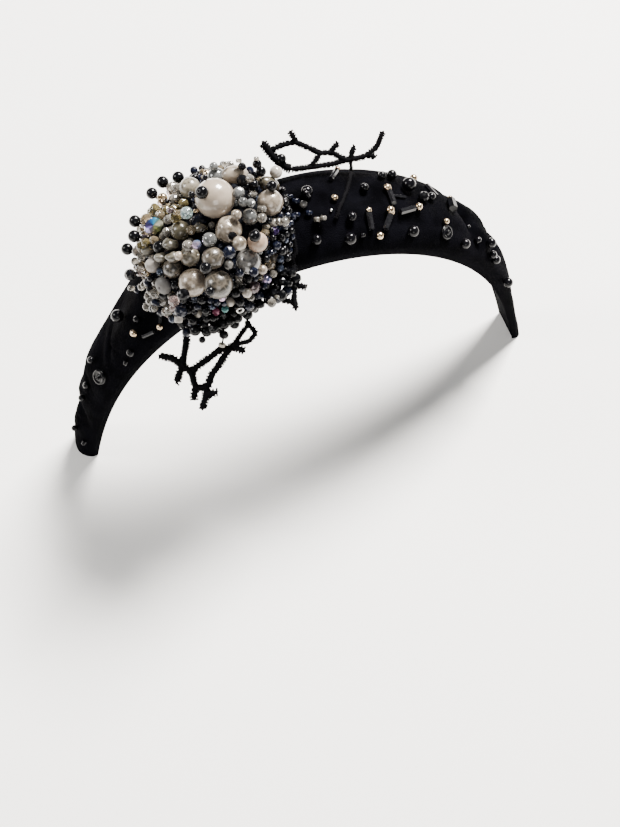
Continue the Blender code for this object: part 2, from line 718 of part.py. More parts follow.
def strip_mesh(name, points, radius):
    """Closed round strip through points, narrower at both ends."""
    curve = bpy.data.curves.new(name, "CURVE")
    curve.dimensions = "3D"
    curve.bevel_depth = radius
    curve.bevel_resolution = LACE_BEVEL
    curve.use_fill_caps = True
    spline = curve.splines.new("POLY")
    spline.points.add(len(points) - 1)
    for k, point in enumerate(points):
        spline.points[k].co = (*point, 1.0)
        spline.points[k].radius = LACE_TIP_SHARE if k in (0, len(points) - 1) else 1.0
    guide = bpy.data.objects.new(f"{name}_line", curve)
    TOOLS.objects.link(guide)
    depsgraph = bpy.context.evaluated_depsgraph_get()
    work = bmesh.new()
    work.from_mesh(bpy.data.meshes.new_from_object(guide.evaluated_get(depsgraph)))
    bmesh.ops.remove_doubles(work, verts=work.verts, dist=MERGE)
    bpy.data.objects.remove(guide, do_unlink=True)
    return mesh_from(work, name)


def fill_chain(seats, chain):
    """Points of a chain with steps between its joints, all clear of what is near."""
    points = []
    for k, (point, clearance, step) in enumerate(chain):
        if k:
            before = chain[k - 1][0]
            pieces = max(1, round((point - before).length / step))
            for part in range(1, pieces):
                points.append(push_clear(seats, before.lerp(point, part / pieces), clearance))
        points.append(point)
    return points


def make_twig(name, seats, chains, threads=0):
    """Strips along the chains, joined into one body; the last chains can be thin threads."""
    joined = new_collection(f"{name}_strips")
    twig = None
    for number, chain in enumerate(chains):
        is_thread = number >= len(chains) - threads
        radius = THREAD_RADIUS if is_thread else LACE_RADIUS * LACE_THINNING ** number
        mesh = strip_mesh(name, fill_chain(seats, chain), radius)
        if twig is None:
            twig = add_part(name, mesh, "lace", smooth=False)
            continue
        strip = bpy.data.objects.new(f"{name}_strip_{number}", mesh)
        joined.objects.link(strip)
        hide_tool(strip)
    union = twig.modifiers.new("strips", "BOOLEAN")
    union.operation = "UNION"
    union.operand_type = "COLLECTION"
    union.collection = joined
    union.solver = "EXACT"


def plane_chains(seats, chains, joints, place, ends):
    """Chains of joints in a plane; the joints named as ends come close to the band."""
    spots = {}
    for joint, where in joints.items():
        point = place(*where)
        clearance = LACE_CLEARANCE
        if joint in ends:
            clearance = LACE_END_CLEARANCE
            near, out, _, _ = seats.trees[0].find_nearest(point)
            point = near + out * clearance
        spots[joint] = (push_clear(seats, point, clearance), LACE_CLEARANCE, LACE_STEP)
    return [[spots[joint] for joint in chain.split()] for chain in chains], spots


def band_chain(seats, start, strand):
    """Chain that leaves a joint and lies on the crown of the band."""
    chain = [start]
    for along, across in strand:
        place, normal, _ = crown_place(seats, along, across)
        place = push_clear(seats, place + normal * LACE_STRAND_CLEARANCE, LACE_STRAND_CLEARANCE)
        chain.append((place, LACE_STRAND_CLEARANCE, STRAND_STEP))
    return chain


def make_lace(seats):
    lower, _ = plane_chains(seats, LOWER_CHAINS, LOWER_JOINTS, front_plane, LOWER_ENDS)
    make_twig("lace_twig_lower", seats, lower, LOWER_THREADS)
    front, spots = plane_chains(seats, FRONT_CHAINS, FRONT_JOINTS, front_plane, FRONT_ENDS)
    front.append(band_chain(seats, spots["edge"], FRONT_STRAND))
    make_twig("lace_twig_front", seats, front)
    upper, spots = plane_chains(seats, UPPER_CHAINS, UPPER_JOINTS, rear_plane, ())
    upper.append(band_chain(seats, spots["hub"], UPPER_STRAND))
    make_twig("lace_twig_upper", seats, upper)


clear_scene()
PARTS = new_collection("beaded_headband")
TOOLS = new_collection("cutters")
GROUND = new_collection("ground_beads")
MADE = make_materials()
ROOT = bpy.data.objects.new("standing_place", None)
PARTS.objects.link(ROOT)
SEATS = Seats()
SEATS.trees.append(evaluated_tree(make_band()))
SEATS.trees.append(evaluated_tree(make_cluster_base()))
make_cluster_beads(SEATS)
make_pin_beads(SEATS)
make_band_beads(SEATS)
make_bugles(SEATS)
make_lace(SEATS)
ROOT.location = (-BOX_SHIFT_X, BOX_SHIFT_Y, 0.0)
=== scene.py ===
"""Looks of the padded velvet headband with its bead cluster, lace twigs and sewn beads."""
import math
import random

import bmesh
import bpy
import numpy as np
from mathutils import Matrix, Vector, noise
from mathutils.bvhtree import BVHTree


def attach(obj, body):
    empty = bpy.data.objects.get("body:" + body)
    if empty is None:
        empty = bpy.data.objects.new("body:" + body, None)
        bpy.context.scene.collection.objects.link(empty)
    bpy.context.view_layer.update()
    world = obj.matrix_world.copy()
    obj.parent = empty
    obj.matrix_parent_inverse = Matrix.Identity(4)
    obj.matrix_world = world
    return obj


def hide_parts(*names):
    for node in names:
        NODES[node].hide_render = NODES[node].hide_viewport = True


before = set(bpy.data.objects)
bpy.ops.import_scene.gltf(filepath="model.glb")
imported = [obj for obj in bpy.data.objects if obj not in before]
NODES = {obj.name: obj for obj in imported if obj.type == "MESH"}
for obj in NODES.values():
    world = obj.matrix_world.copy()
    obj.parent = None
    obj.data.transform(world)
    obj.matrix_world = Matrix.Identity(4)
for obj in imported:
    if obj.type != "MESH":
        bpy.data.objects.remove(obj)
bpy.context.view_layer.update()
MM = 0.001

# Camera: fitted to the photograph, in degrees, metres and pixels of the 620 x 827 image
AZIMUTH, ELEVATION, ROLL = -17.6, 55.7, -1.1
DISTANCE = 0.543
TARGET = Vector((-0.00828, -0.02538, 0.0336))
FOCAL_PX = 1675.0
IMAGE_W, IMAGE_H = 620.0, 827.0
SENSOR = 24.0

# The band, as in the solids
SHIFT = Vector((1.02, 10.02, 0.0)) * MM
HALF_LENGTH = 124.8 * MM
END_ANGLE = math.radians(77.45)
STRAIGHTENING = 0.456
FOOT_TRIM = 1.6 * MM
TOP_WIDTH, END_WIDTH, WIDTH_FALL = 34.3 * MM, 12.6 * MM, 1.8
TOP_DEPTH, END_DEPTH = 11.2 * MM, 5.0 * MM
EDGE_SHARE, CROWN_POWER = 0.30, 2.4
FOLDS = [
    # along, across, half_length, half_width, height, turn
    (47, 3, 7, 12, 0.5, 0), (54.5, 0, 3, 12, -2.3, 15), (63, 2, 5, 9, 0.6, 0), (71, 0, 2.6, 10, -1.7, -12),
    (77, 0, 4, 8, 0.3, 0), (104, 0, 20, 14, -2.6, 0), (20, -10.5, 46, 2, -0.9, 2), (22, -6.5, 44, 3, 0.8, 2),
    (16, -1, 6, 1.8, -0.8, 8), (-64, 9, 11, 9, -3.2, 15), (-76, 0, 2.4, 9, -1.1, -30), (-84, 1, 6, 9, 1.6, 0),
    (-98, 3, 5, 7, 1.2, 0), (-104, 0, 2.4, 8, -1.4, -25), (-112, 0, 7, 7, 1.6, 0), (-122, 0, 6, 7, 1.2, 0),
]
# Finer wrinkles of the velvet that only show close up
WRINKLES = [
    # along, across, half_length, half_width, height, turn
    (55.5, 2, 1.5, 11, -1.7, 18), (72.5, -1, 1.6, 9, -1.5, -14), (63.5, 1, 4, 8, 0.6, 4),
    (61, -6, 5, 3, 0.5, 10), (-71, -1, 1.3, 7, -1.3, -24), (-88, 2, 1.3, 7, -1.3, -34),
    (-101, 2, 1.2, 6, -1.2, -28), (58, -4, 0.9, 6, -0.5, 25), (67, 4, 0.9, 5, -0.5, -20),
    (50.5, 6, 0.9, 6, -0.5, 8), (42, -13, 7, 0.8, -0.4, 12), (-4, -13, 12, 0.8, -0.35, -4),
    (-70, -5, 0.9, 5, -0.5, 32), (-89.5, -3, 0.9, 5, -0.6, -28), (-95, 0, 0.8, 4.5, -0.4, 20),
    (-108, -1, 0.8, 4, -0.5, 15), (30, 10, 9, 0.9, -0.4, -8),
]
# Unevenness of the cloth and its pile: height in mm, waves per metre along and across, start
CLOTH = [(0.45, 75, 140, 3.0), (0.22, 240, 190, 7.0)]
NAP = [(0.12, 1500, 1500, 9.0)]
VELVET_STATIONS, VELVET_CROWN = 420, 40
INSIDE_SHARES, INSIDE_TUCK, INSIDE_EDGE = (0.97, 0.9, 0.6, 0.0, -0.6, -0.9, -0.97), 0.35 * MM, 0.1

# Cluster frame, as in the solids
CLUSTER_ALONG = -26.0 * MM
DOME_CENTRE = Vector((0.5, -2.0, 0.0)) * MM
DOME_HALF = (22.0 * MM, 19.0 * MM)
DOME_HEIGHT, DOME_DROP, FOCUS_DROP = 13.5 * MM, 5.0 * MM, 4.0 * MM
DOME_POWER = 2.0 / 3.0

# ---- materials
SOCKETS = {
    "rough": "Roughness", "metal": "Metallic", "specular": "Specular IOR Level", "ior": "IOR",
    "clear": "Transmission Weight", "coat": "Coat Weight", "coat_rough": "Coat Roughness",
    "sheen": "Sheen Weight", "sheen_rough": "Sheen Roughness", "sheen_tint": "Sheen Tint",
    "film": "Thin Film Thickness", "film_ior": "Thin Film IOR",
}
PLAIN_SURFACES = {
    # name: dark tone, light tone, scale, roughness, other values
    "black": ((0.0012, 0.0012, 0.0015), (0.003, 0.003, 0.004), 700, 0.14, dict(specular=0.2)),
    "ivory": ((0.255, 0.206, 0.156), (0.342, 0.282, 0.222), 230, 0.22, dict(coat=0.6, coat_rough=0.06)),
    "pearl": ((0.105, 0.082, 0.058), (0.275, 0.23, 0.18), 620, 0.26,
              dict(metal=0.2, bump=0.0001, coat=0.8, coat_rough=0.1)),
    "white_pearl": ((0.27, 0.24, 0.2), (0.42, 0.38, 0.33), 700, 0.2,
                    dict(metal=0.1, coat=0.8, coat_rough=0.08)),
    "grey_pearl": ((0.03, 0.028, 0.027), (0.2, 0.19, 0.175), 620, 0.2,
                   dict(metal=0.1, coat=0.9, coat_rough=0.08)),
    "peach": ((0.25, 0.17, 0.12), (0.34, 0.24, 0.175), 500, 0.38, dict(coat=0.3)),
    "grey_glass": ((0.07, 0.072, 0.07), (0.17, 0.172, 0.168), 500, 0.12, dict(clear=0.35, ior=1.5, coat=0.5)),
    "olive_glass": ((0.055, 0.047, 0.028), (0.125, 0.108, 0.068), 450, 0.26,
                    dict(clear=0.25, ior=1.5, coat=0.2)),
    "matte_white": ((0.2, 0.178, 0.155), (0.27, 0.243, 0.215), 300, 0.42, dict(coat=0.2)),
    "frosted": ((0.085, 0.08, 0.075), (0.12, 0.114, 0.107), 260, 0.5, dict(specular=0.3)),
    "clear": ((0.14, 0.127, 0.106), (0.39, 0.362, 0.318), 800, 0.05, dict(clear=0.66, ior=1.52)),
    "champagne": ((0.22, 0.17, 0.1), (0.42, 0.34, 0.23), 800, 0.04, dict(clear=0.75, ior=1.55)),
    "olive_clear": ((0.12, 0.095, 0.035), (0.26, 0.21, 0.1), 800, 0.04, dict(clear=0.7, ior=1.55)),
    "pink_clear": ((0.66, 0.5, 0.47), (0.8, 0.68, 0.64), 800, 0.04, dict(clear=0.8, ior=1.5)),
    "ab": ((0.12, 0.2, 0.36), (0.42, 0.33, 0.4), 420, 0.05,
           dict(metal=0.45, clear=0.3, ior=1.55, film=430, film_ior=1.9)),
    "aqua": ((0.38, 0.5, 0.5), (0.6, 0.7, 0.69), 900, 0.04, dict(clear=0.75, ior=1.55)),
    "navy": ((0.002, 0.0024, 0.006), (0.0065, 0.009, 0.021), 900, 0.12,
             dict(metal=0.15, specular=0.3, coat=0.2)),
    "steel": ((0.012, 0.016, 0.028), (0.055, 0.07, 0.105), 900, 0.14, dict(metal=0.6, coat=0.3)),
    "brown": ((0.03, 0.022, 0.022), (0.1, 0.07, 0.075), 900, 0.1, dict(metal=0.5, coat=0.5)),
    "teal": ((0.012, 0.06, 0.062), (0.04, 0.13, 0.12), 900, 0.1, dict(metal=0.4)),
    "magenta": ((0.075, 0.014, 0.03), (0.19, 0.05, 0.09), 900, 0.12, dict(metal=0.2)),
    "violet": ((0.03, 0.015, 0.07), (0.09, 0.05, 0.18), 900, 0.08, dict(metal=0.4)),
    "gold": ((0.42, 0.31, 0.19), (0.66, 0.53, 0.38), 900, 0.2, dict(metal=1)),
    "silver": ((0.4, 0.39, 0.38), (0.7, 0.69, 0.66), 900, 0.15, dict(metal=1)),
    "bugle": ((0.003, 0.003, 0.004), (0.008, 0.008, 0.009), 1200, 0.18, dict(specular=0.42)),
    "smoky": ((0.018, 0.015, 0.009), (0.085, 0.073, 0.05), 420, 0.22, dict(coat=0.3)),
    "cream": ((0.19, 0.155, 0.115), (0.28, 0.238, 0.188), 260, 0.34, dict(coat=0.3)),
    "thread": ((0.0008, 0.0008, 0.0011), (0.003, 0.0028, 0.0036), 3000, 0.85,
               dict(bump=0.0001, specular=0.04)),
    "felt": ((0.001, 0.0012, 0.0022), (0.004, 0.0045, 0.0075), 1800, 0.95, dict(bump=0.0002, specular=0.1)),
}
CRACKLED = {
    # name: dark, middle and light tone, transmission, scale
    "crackle": ((0.014, 0.012, 0.008), (0.038, 0.032, 0.023), (0.120, 0.100, 0.077), 0.08, 520),
    "quartz": ((0.030, 0.026, 0.017), (0.060, 0.053, 0.037), (0.125, 0.112, 0.084), 0.10, 300),
    "cream_glass": ((0.06, 0.05, 0.036), (0.15, 0.13, 0.095), (0.31, 0.27, 0.205), 0.3, 430),
}
# Colours round the large crystal with its thin metal film, from its left side over its underside: the film's
# own colours set out as painted reflections facing the camera, with a painted glint at 0.56
FILM_AND_GLINT_STOPS = [
    # share of the way round, red, green, blue
    (0, 0.05, 0.035, 0.12), (0.07, 0.3, 0.23, 0.62), (0.13, 0.09, 0.065, 0.15), (0.25, 0.13, 0.115, 0.08),
    (0.38, 0.23, 0.26, 0.085), (0.47, 0.12, 0.14, 0.08), (0.56, 0.42, 0.4, 0.3), (0.64, 0.06, 0.1, 0.08),
    (0.71, 0.02, 0.2, 0.33), (0.8, 0.015, 0.08, 0.21), (0.89, 0.012, 0.018, 0.07), (1, 0.05, 0.035, 0.12),
]


class Look:
    """A material in the making: nodes first, the colour and the plain values last."""

    def __init__(self, name):
        self.material = bpy.data.materials.new(name)
        self.material.use_nodes = True
        self.nodes, self.links = self.material.node_tree.nodes, self.material.node_tree.links
        self.shader = self.nodes["Principled BSDF"]
        self.place = self.nodes.new("ShaderNodeTexCoord").outputs["Object"]

    def add(self, kind, vector=None, **inputs):
        made = self.nodes.new(kind)
        if vector is not None:
            self.links.new(vector, made.inputs["Vector"])
        for key, value in inputs.items():
            made.inputs[key].default_value = value
        return made

    def noise(self, scale, detail, **inputs):
        return self.add("ShaderNodeTexNoise", self.place, Scale=scale, Detail=detail, **inputs).outputs["Fac"]

    def ramp(self, source, stops):
        made = self.add("ShaderNodeValToRGB")
        self.links.new(source, made.inputs["Fac"])
        while len(made.color_ramp.elements) < len(stops):
            made.color_ramp.elements.new(0.5)
        for element, (position, colour) in zip(made.color_ramp.elements, stops):
            element.position = position
            element.color = (*colour, 1.0)
        return made.outputs["Color"]

    def bump(self, source, distance, strength):
        made = self.add("ShaderNodeBump", Distance=distance, Strength=strength)
        self.links.new(source, made.inputs["Height"])
        self.links.new(made.outputs["Normal"], self.shader.inputs["Normal"])

    def finish(self, colour, **values):
        self.links.new(colour, self.shader.inputs["Base Color"])
        for key, value in values.items():
            self.shader.inputs[SOCKETS[key]].default_value = value
        return self.material


def velvet_material():
    look = Look("velvet_pile")
    look.bump(look.noise(3200, 3), 0.5 * MM, 1.0)
    tone = look.ramp(look.noise(140, 5), [(0.35, (0.0004, 0.0004, 0.0007)), (0.65, (0.0018, 0.0018, 0.0028))])
    return look.finish(tone, rough=0.85, specular=0.01, sheen=0.008, sheen_rough=0.30,
                       sheen_tint=(0.50, 0.48, 0.66, 1.0))


def speckled(name, dark, light, scale, rough, bump=0.0, **values):
    """Surface whose colour drifts between two tones, with an optional fine bump."""
    look = Look(f"{name}_surface")
    if bump:
        look.bump(look.noise(scale * 4, 2), bump, 0.6)
    return look.finish(look.ramp(look.noise(scale, 3), [(0.35, dark), (0.65, light)]), rough=rough, **values)


def crackle_material(name, dark, middle, light, clear, scale):
    """Milky glass, cloudy and crossed by fine bright cracks."""
    look = Look(f"{name}_surface")
    cells = look.add("ShaderNodeTexVoronoi", look.place, Scale=scale)
    cells.feature = "DISTANCE_TO_EDGE"
    cloud = look.noise(scale * 0.55, 4, Distortion=1.2)
    mixed = look.add("ShaderNodeMix")
    mixed.data_type = "RGBA"
    mixed.inputs["B"].default_value = (*light, 1.0)
    look.links.new(look.ramp(cells.outputs["Distance"], [(0.0, (0.80, 0.80, 0.80)), (0.12, (0.0, 0.0, 0.0))]),
                   mixed.inputs["Factor"])
    look.links.new(look.ramp(cloud, [(0.34, dark), (0.5, middle), (0.66, light)]), mixed.inputs["A"])
    look.bump(cells.outputs["Distance"], 0.15 * MM, 0.4)
    return look.finish(mixed.outputs["Result"], rough=0.30, clear=clear, coat=0.45, coat_rough=0.16)


def film_and_painted_glint_material(name, centre):
    """Cut glass with a metal film: its colours follow each other round the middle of the bead, turned to face
    the camera, so they are painted reflections with a painted glint.
    """
    look = Look(f"{name}_surface")
    # the ring of colours turns with the camera, so it holds painted reflections and a painted glint
    turn = Matrix((CAM_RIGHT, CAM_UP, CAM_BACK)).transposed().to_euler()
    mapping = look.add("ShaderNodeMapping", look.place, Location=centre, Rotation=turn)
    mapping.vector_type = "TEXTURE"
    gradient = look.add("ShaderNodeTexGradient", mapping.outputs["Vector"])
    gradient.gradient_type = "RADIAL"
    tone = look.ramp(gradient.outputs["Fac"], [(share, colour) for share, *colour in FILM_AND_GLINT_STOPS])
    return look.finish(tone, rough=0.08, metal=0.5, coat=1.0, coat_rough=0.03)


def bead_materials():
    made = {"velvet": velvet_material()}
    made |= {name: crackle_material(name, *row) for name, row in CRACKLED.items()}
    made |= {name: speckled(name, *row, **values) for name, (*row, values) in PLAIN_SURFACES.items()}
    made["ab_large_painted_glint"] = film_and_painted_glint_material("ab_large_painted_glint", ball_place("ab_crystal_left")[0])
    return made


# ---- the band's shape
def arch_line(steps=400):
    along = np.linspace(-HALF_LENGTH, HALF_LENGTH, 2 * steps + 1)
    share = np.abs(along) / HALF_LENGTH
    slope = np.sign(along) * END_ANGLE * ((1 + STRAIGHTENING) * share - STRAIGHTENING * share ** 3)
    step = along[1] - along[0]
    run, fall = np.cos(slope), -np.sin(slope)
    x = np.concatenate([[0.0], np.cumsum((run[1:] + run[:-1]) / 2 * step)])
    z = np.concatenate([[0.0], np.cumsum((fall[1:] + fall[:-1]) / 2 * step)])
    return along, x - x[steps], z - z[-1] - FOOT_TRIM, slope


ARCH = arch_line()


def arch_frame(along):
    """Place on the band's middle line, the direction out of the band and the one along it."""
    x, z, slope = (float(np.interp(along, ARCH[0], row)) for row in ARCH[1:])
    return (Vector((x, 0.0, z)) + SHIFT, Vector((math.sin(slope), 0.0, math.cos(slope))),
            Vector((math.cos(slope), 0.0, -math.sin(slope))))


def band_width(along):
    share = min(abs(along) / HALF_LENGTH, 1.0)
    return END_WIDTH + (TOP_WIDTH - END_WIDTH) * (1 - share ** 2) ** WIDTH_FALL


def band_depth(along):
    share = min(abs(along) / HALF_LENGTH, 1.0)
    return END_DEPTH + (TOP_DEPTH - END_DEPTH) * (1 - share ** 2)


def fold_height(along, across, folds):
    total = 0.0
    for fold_along, fold_across, half_length, half_width, height, turn in folds:
        u, v = along / MM - fold_along, across / MM - fold_across
        c, s = math.cos(math.radians(turn)), math.sin(math.radians(turn))
        p, q = (u * c + v * s) / half_length, (v * c - u * s) / half_width
        if p * p + q * q < 9:
            total += height * math.exp(-p * p - q * q)
    return total * MM


def uneven(along, across, rows):
    return sum(height * MM * noise.noise(Vector((along * u, across * v, start)))
               for height, u, v, start in rows)


def crown_point(along, share):
    base, outward, _ = arch_frame(along)
    across = share * band_width(along) / 2
    rise = EDGE_SHARE + (1 - EDGE_SHARE) * (1 - min(abs(share), 1.0) ** CROWN_POWER) ** 0.5
    folds = fold_height(along, across, FOLDS) + fold_height(along, across, WRINKLES)
    folds = (1 - share ** 4) * (folds + uneven(along, across, CLOTH))
    height = band_depth(along) * rise + folds + uneven(along, across, NAP)
    return base + outward * height + Vector((0.0, across, 0.0))


def link_object(name, mesh):
    made = bpy.data.objects.new(name, mesh)
    bpy.context.scene.collection.objects.link(made)
    return made


def mesh_object(name, verts, faces, smooth=True):
    mesh = bpy.data.meshes.new(name)
    mesh.from_pydata([tuple(v) for v in verts], [], faces)
    work = bmesh.new()
    work.from_mesh(mesh)
    bmesh.ops.recalc_face_normals(work, faces=work.faces)
    work.to_mesh(mesh)
    work.free()
    if smooth:
        mesh.shade_smooth()
    return link_object(name, mesh)


def dress(piece, surface):
    piece.data.materials.clear()
    piece.data.materials.append(SURFACES[surface])


def finish_piece(piece, surface, *nodes):
    dress(piece, surface)
    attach(piece, "root")
    if nodes:
        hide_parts(*nodes)
    return piece


def make_velvet():
    """Velvet cover with its rolled edges, the flat inner side and the two level ends."""
    verts, faces = [], []
    count = VELVET_CROWN + 1 + len(INSIDE_SHARES)
    for k in range(VELVET_STATIONS + 1):
        along = -HALF_LENGTH + 2 * HALF_LENGTH * k / VELVET_STATIONS
        base, outward, _ = arch_frame(along)
        verts += [crown_point(along, -math.cos(math.pi * j / VELVET_CROWN)) for j in range(VELVET_CROWN + 1)]
        for share in INSIDE_SHARES:
            tuck = INSIDE_TUCK * min(1.0, (1 - abs(share)) / INSIDE_EDGE)
            verts.append(base + outward * tuck + Vector((0.0, share * band_width(along) / 2, 0.0)))
    for k in range(VELVET_STATIONS):
        for j in range(count):
            a, b = k * count + j, k * count + (j + 1) % count
            faces.append((a, b, b + count, a + count))
    faces.append(tuple(range(count)))
    faces.append(tuple(reversed(range(VELVET_STATIONS * count, (VELVET_STATIONS + 1) * count))))
    piece = mesh_object("velvet_cover", verts, faces)
    work = bmesh.new()
    work.from_mesh(piece.data)
    everything = list(work.verts) + list(work.edges) + list(work.faces)
    bmesh.ops.bisect_plane(work, geom=everything, dist=1e-7, plane_co=(0, 0, 0), plane_no=(0, 0, -1),
                           clear_outer=True)
    bmesh.ops.holes_fill(work, edges=[e for e in work.edges if e.is_boundary], sides=0)
    work.to_mesh(piece.data)
    work.free()
    piece.data.shade_smooth()
    return finish_piece(piece, "velvet", "velvet_band")


# ---- camera rays
def camera_axes():
    az, el, roll = (math.radians(v) for v in (AZIMUTH, ELEVATION, ROLL))
    back = Vector((math.sin(az) * math.cos(el), -math.cos(az) * math.cos(el), math.sin(el)))
    right = Vector((math.cos(az), math.sin(az), 0.0))
    up = back.cross(right)
    return (right * math.cos(roll) + up * math.sin(roll), up * math.cos(roll) - right * math.sin(roll), back)


CAM_RIGHT, CAM_UP, CAM_BACK = camera_axes()
CAM_PLACE = TARGET + CAM_BACK * DISTANCE
# Where beads start along their line of sight and how far they may go, and their mean level for their size
SIGHT_START, SIGHT_REACH = DISTANCE - 0.16, 0.22
BEAD_LEVEL = TARGET + Vector((0.0, 0.0, 0.06))


def pixel_ray(x, y):
    """Direction from the camera through a pixel of the photograph."""
    ray = CAM_RIGHT * ((x - IMAGE_W / 2) / FOCAL_PX) - CAM_UP * ((y - IMAGE_H / 2) / FOCAL_PX) - CAM_BACK
    return ray.normalized()


def across_view(x, y):
    """Upright direction across the line of sight, so that a bead's hole doesn't show."""
    return pixel_ray(x + 40, y).cross(pixel_ray(x, y)).normalized()


def photo_pixel(point):
    """Pixel of the photograph at which a point shows."""
    away = point - CAM_PLACE
    depth = -away.dot(CAM_BACK)
    return (IMAGE_W / 2 + FOCAL_PX * away.dot(CAM_RIGHT) / depth,
            IMAGE_H / 2 - FOCAL_PX * away.dot(CAM_UP) / depth)


def pixels_to_metres(pixels, place):
    return pixels * (CAM_PLACE - place).dot(CAM_BACK) / FOCAL_PX


def make_camera():
    data = bpy.data.cameras.new("photo_camera")
    camera = link_object("photo_camera", data)
    rows = Matrix((CAM_RIGHT, CAM_UP, CAM_BACK)).transposed().to_4x4()
    camera.matrix_world = Matrix.Translation(CAM_PLACE) @ rows
    data.sensor_fit = "VERTICAL"
    data.sensor_height = SENSOR
    data.lens = FOCAL_PX / IMAGE_H * SENSOR
    data.clip_start, data.clip_end = 0.01, 10.0
    bpy.context.scene.camera = camera


# ---- bead shapes
def revolved(profile, sides, smooth=True, stagger=False):
    """Unit solid through (radius, height) points, top to bottom, turned about Z."""
    verts, rings = [], []
    for level, (radius, height) in enumerate(profile):
        if radius < 1e-6:
            rings.append([len(verts)])
            verts.append((0.0, 0.0, height))
            continue
        rings.append(list(range(len(verts), len(verts) + sides)))
        for k in range(sides):
            angle = 2 * math.pi * (k + (0.5 * level if stagger else 0.0)) / sides
            verts.append((radius * math.cos(angle), radius * math.sin(angle), height))
    faces = []
    for upper, lower in zip(rings, rings[1:]):
        for k in range(sides):
            a, b = upper[k % len(upper)], upper[(k + 1) % len(upper)]
            c, d = lower[k % len(lower)], lower[(k + 1) % len(lower)]
            if len(upper) == 1:
                faces.append((a, c, d))
            elif len(lower) == 1:
                faces.append((a, c, b))
            elif stagger:
                faces += [(a, c, b), (b, c, d)]
            else:
                faces.append((a, c, d, b))
    return np.array(verts), faces, smooth


def mirrored(half, middle=()):
    return [*half, *middle, *((radius, -height) for radius, height in reversed(half))]


def ball_profile(rings, hole=0.16):
    """Round bead with the funnel of its hole at both ends."""
    start = math.asin(hole)
    angles = [start + (math.pi - 2 * start) * k / rings for k in range(rings + 1)]
    return mirrored([(0.0, 0.80), (hole * 0.75, 0.86)], [(math.sin(a), math.cos(a)) for a in angles])


# Worn beads: size, then depth, waves and start of each kind of lump
PEBBLE_LUMPS = [(0.30, 1.2, (2.0, 7.0, 1.0))]
BAROQUE_SIZE, BAROQUE_LUMPS = 0.97, [(0.10, 1.3, (5.0, 1.0, 2.0)), (0.035, 3.1, (0.0, 0.0, 0.0))]


def worn(shape, size, lumps):
    """A round shape with lumps, about size where it is even."""
    points, faces, smooth = shape
    swell = [sum(depth * noise.noise(Vector(point) * waves + Vector(start)) for depth, waves, start in lumps)
             for point in points]
    return points * (size + np.array(swell))[:, None], faces, smooth


BALL = revolved(ball_profile(18), 28)
SHAPES = {
    "ball": BALL,
    "lens": BALL,
    "oval": BALL,
    "baroque": worn(BALL, BAROQUE_SIZE, BAROQUE_LUMPS),
    "bead": revolved(ball_profile(9, 0.2), 14),
    "chip": worn(revolved(ball_profile(8, 0.05), 12), 1.0, PEBBLE_LUMPS),
    "seed": revolved(mirrored([(0.0, 0.30), (0.30, 0.42), (0.45, 0.62), (0.70, 0.66), (0.92, 0.42)],
                              [(1.0, 0.0)]), 12),
    "cut": revolved(mirrored([(0.0, 0.80), (0.40, 0.84), (0.80, 0.58), (1.0, 0.18)]), 9, False, True),
    "ring": revolved(mirrored([(0.52, 0.0), (0.60, 0.24), (0.78, 0.32), (0.95, 0.22)], [(1.0, 0.0)]), 18),
    "bugle": revolved(mirrored([(0.0, 0.96), (0.5, 0.96), (0.7, 1.0), (1.0, 1.0)]), 6, False),
    "lentil": revolved([(0.0, 0.50), (0.18, 0.46), (0.30, 0.22), (0.62, 0.20), (0.78, 0.34), (0.90, 0.32),
                        (0.98, 0.12), (1.0, 0.0), (0.94, -0.14), (0.0, -0.26)], 32),
}
ROUND = (1.0, 1.0, 1.0)
STRETCHES = {"lens": (1.0, 1.0, 0.62), "oval": (1.0, 1.0, 1.55), "chip": (1.10, 0.98, 0.78)}


def bead_matrix(place, axis, radius, stretch=ROUND, spin=0.0):
    turn = axis.to_track_quat("Z", "Y").to_matrix().to_4x4() @ Matrix.Rotation(spin, 4, "Z")
    return Matrix.Translation(place) @ turn @ Matrix.Diagonal((*(radius * s for s in stretch), 1.0))


def moved(verts, matrix):
    return verts @ np.array(matrix.to_3x3()).T + np.array(matrix.translation)


class Strand:
    """Many beads of one material, gathered into one mesh."""

    def __init__(self):
        self.verts, self.faces, self.smooth, self.total = [], [], [], 0

    def add(self, shape, matrix):
        verts, faces, smooth = SHAPES[shape]
        self.verts.append(moved(verts, matrix))
        self.faces += [tuple(v + self.total for v in face) for face in faces]
        self.smooth += [smooth] * len(faces)
        self.total += len(verts)

    def make(self, surface):
        mesh = bpy.data.meshes.new(f"small_beads_{surface}")
        mesh.from_pydata(np.concatenate(self.verts).tolist(), [], self.faces)
        mesh.polygons.foreach_set("use_smooth", self.smooth)
        finish_piece(link_object(mesh.name, mesh), surface)


class Shell:
    """A piece gathered from tubes and other closed parts."""

    def __init__(self):
        self.verts, self.faces = [], []

    def add(self, verts, faces):
        self.faces += [tuple(v + len(self.verts) for v in face) for face in faces]
        self.verts += verts

    def tube(self, points, radius, sides):
        """Round tube through points, closed at both ends; the radius may be a list."""
        verts, faces = [], []
        for k, point in enumerate(points):
            ahead = heading(points, k)
            side = ahead.orthogonal().normalized() if k == 0 else (side - ahead * side.dot(ahead)).normalized()
            over = ahead.cross(side)
            thick = radius[k] if isinstance(radius, list) else radius
            for j in range(sides):
                angle = 2 * math.pi * j / sides
                verts.append(point + (side * math.cos(angle) + over * math.sin(angle)) * thick)
        for k in range(len(points) - 1):
            for j in range(sides):
                a, b = k * sides + j, k * sides + (j + 1) % sides
                faces.append((a, b, b + sides, a + sides))
        faces.append(tuple(reversed(range(sides))))
        faces.append(tuple(range((len(points) - 1) * sides, len(points) * sides)))
        self.add(verts, faces)

    def make(self, name, surface, *nodes):
        finish_piece(mesh_object(name, self.verts, self.faces), surface, *nodes)


def heading(points, k):
    """Direction of a line of points at one of them."""
    return (points[min(k + 1, len(points) - 1)] - points[max(k - 1, 0)]).normalized()


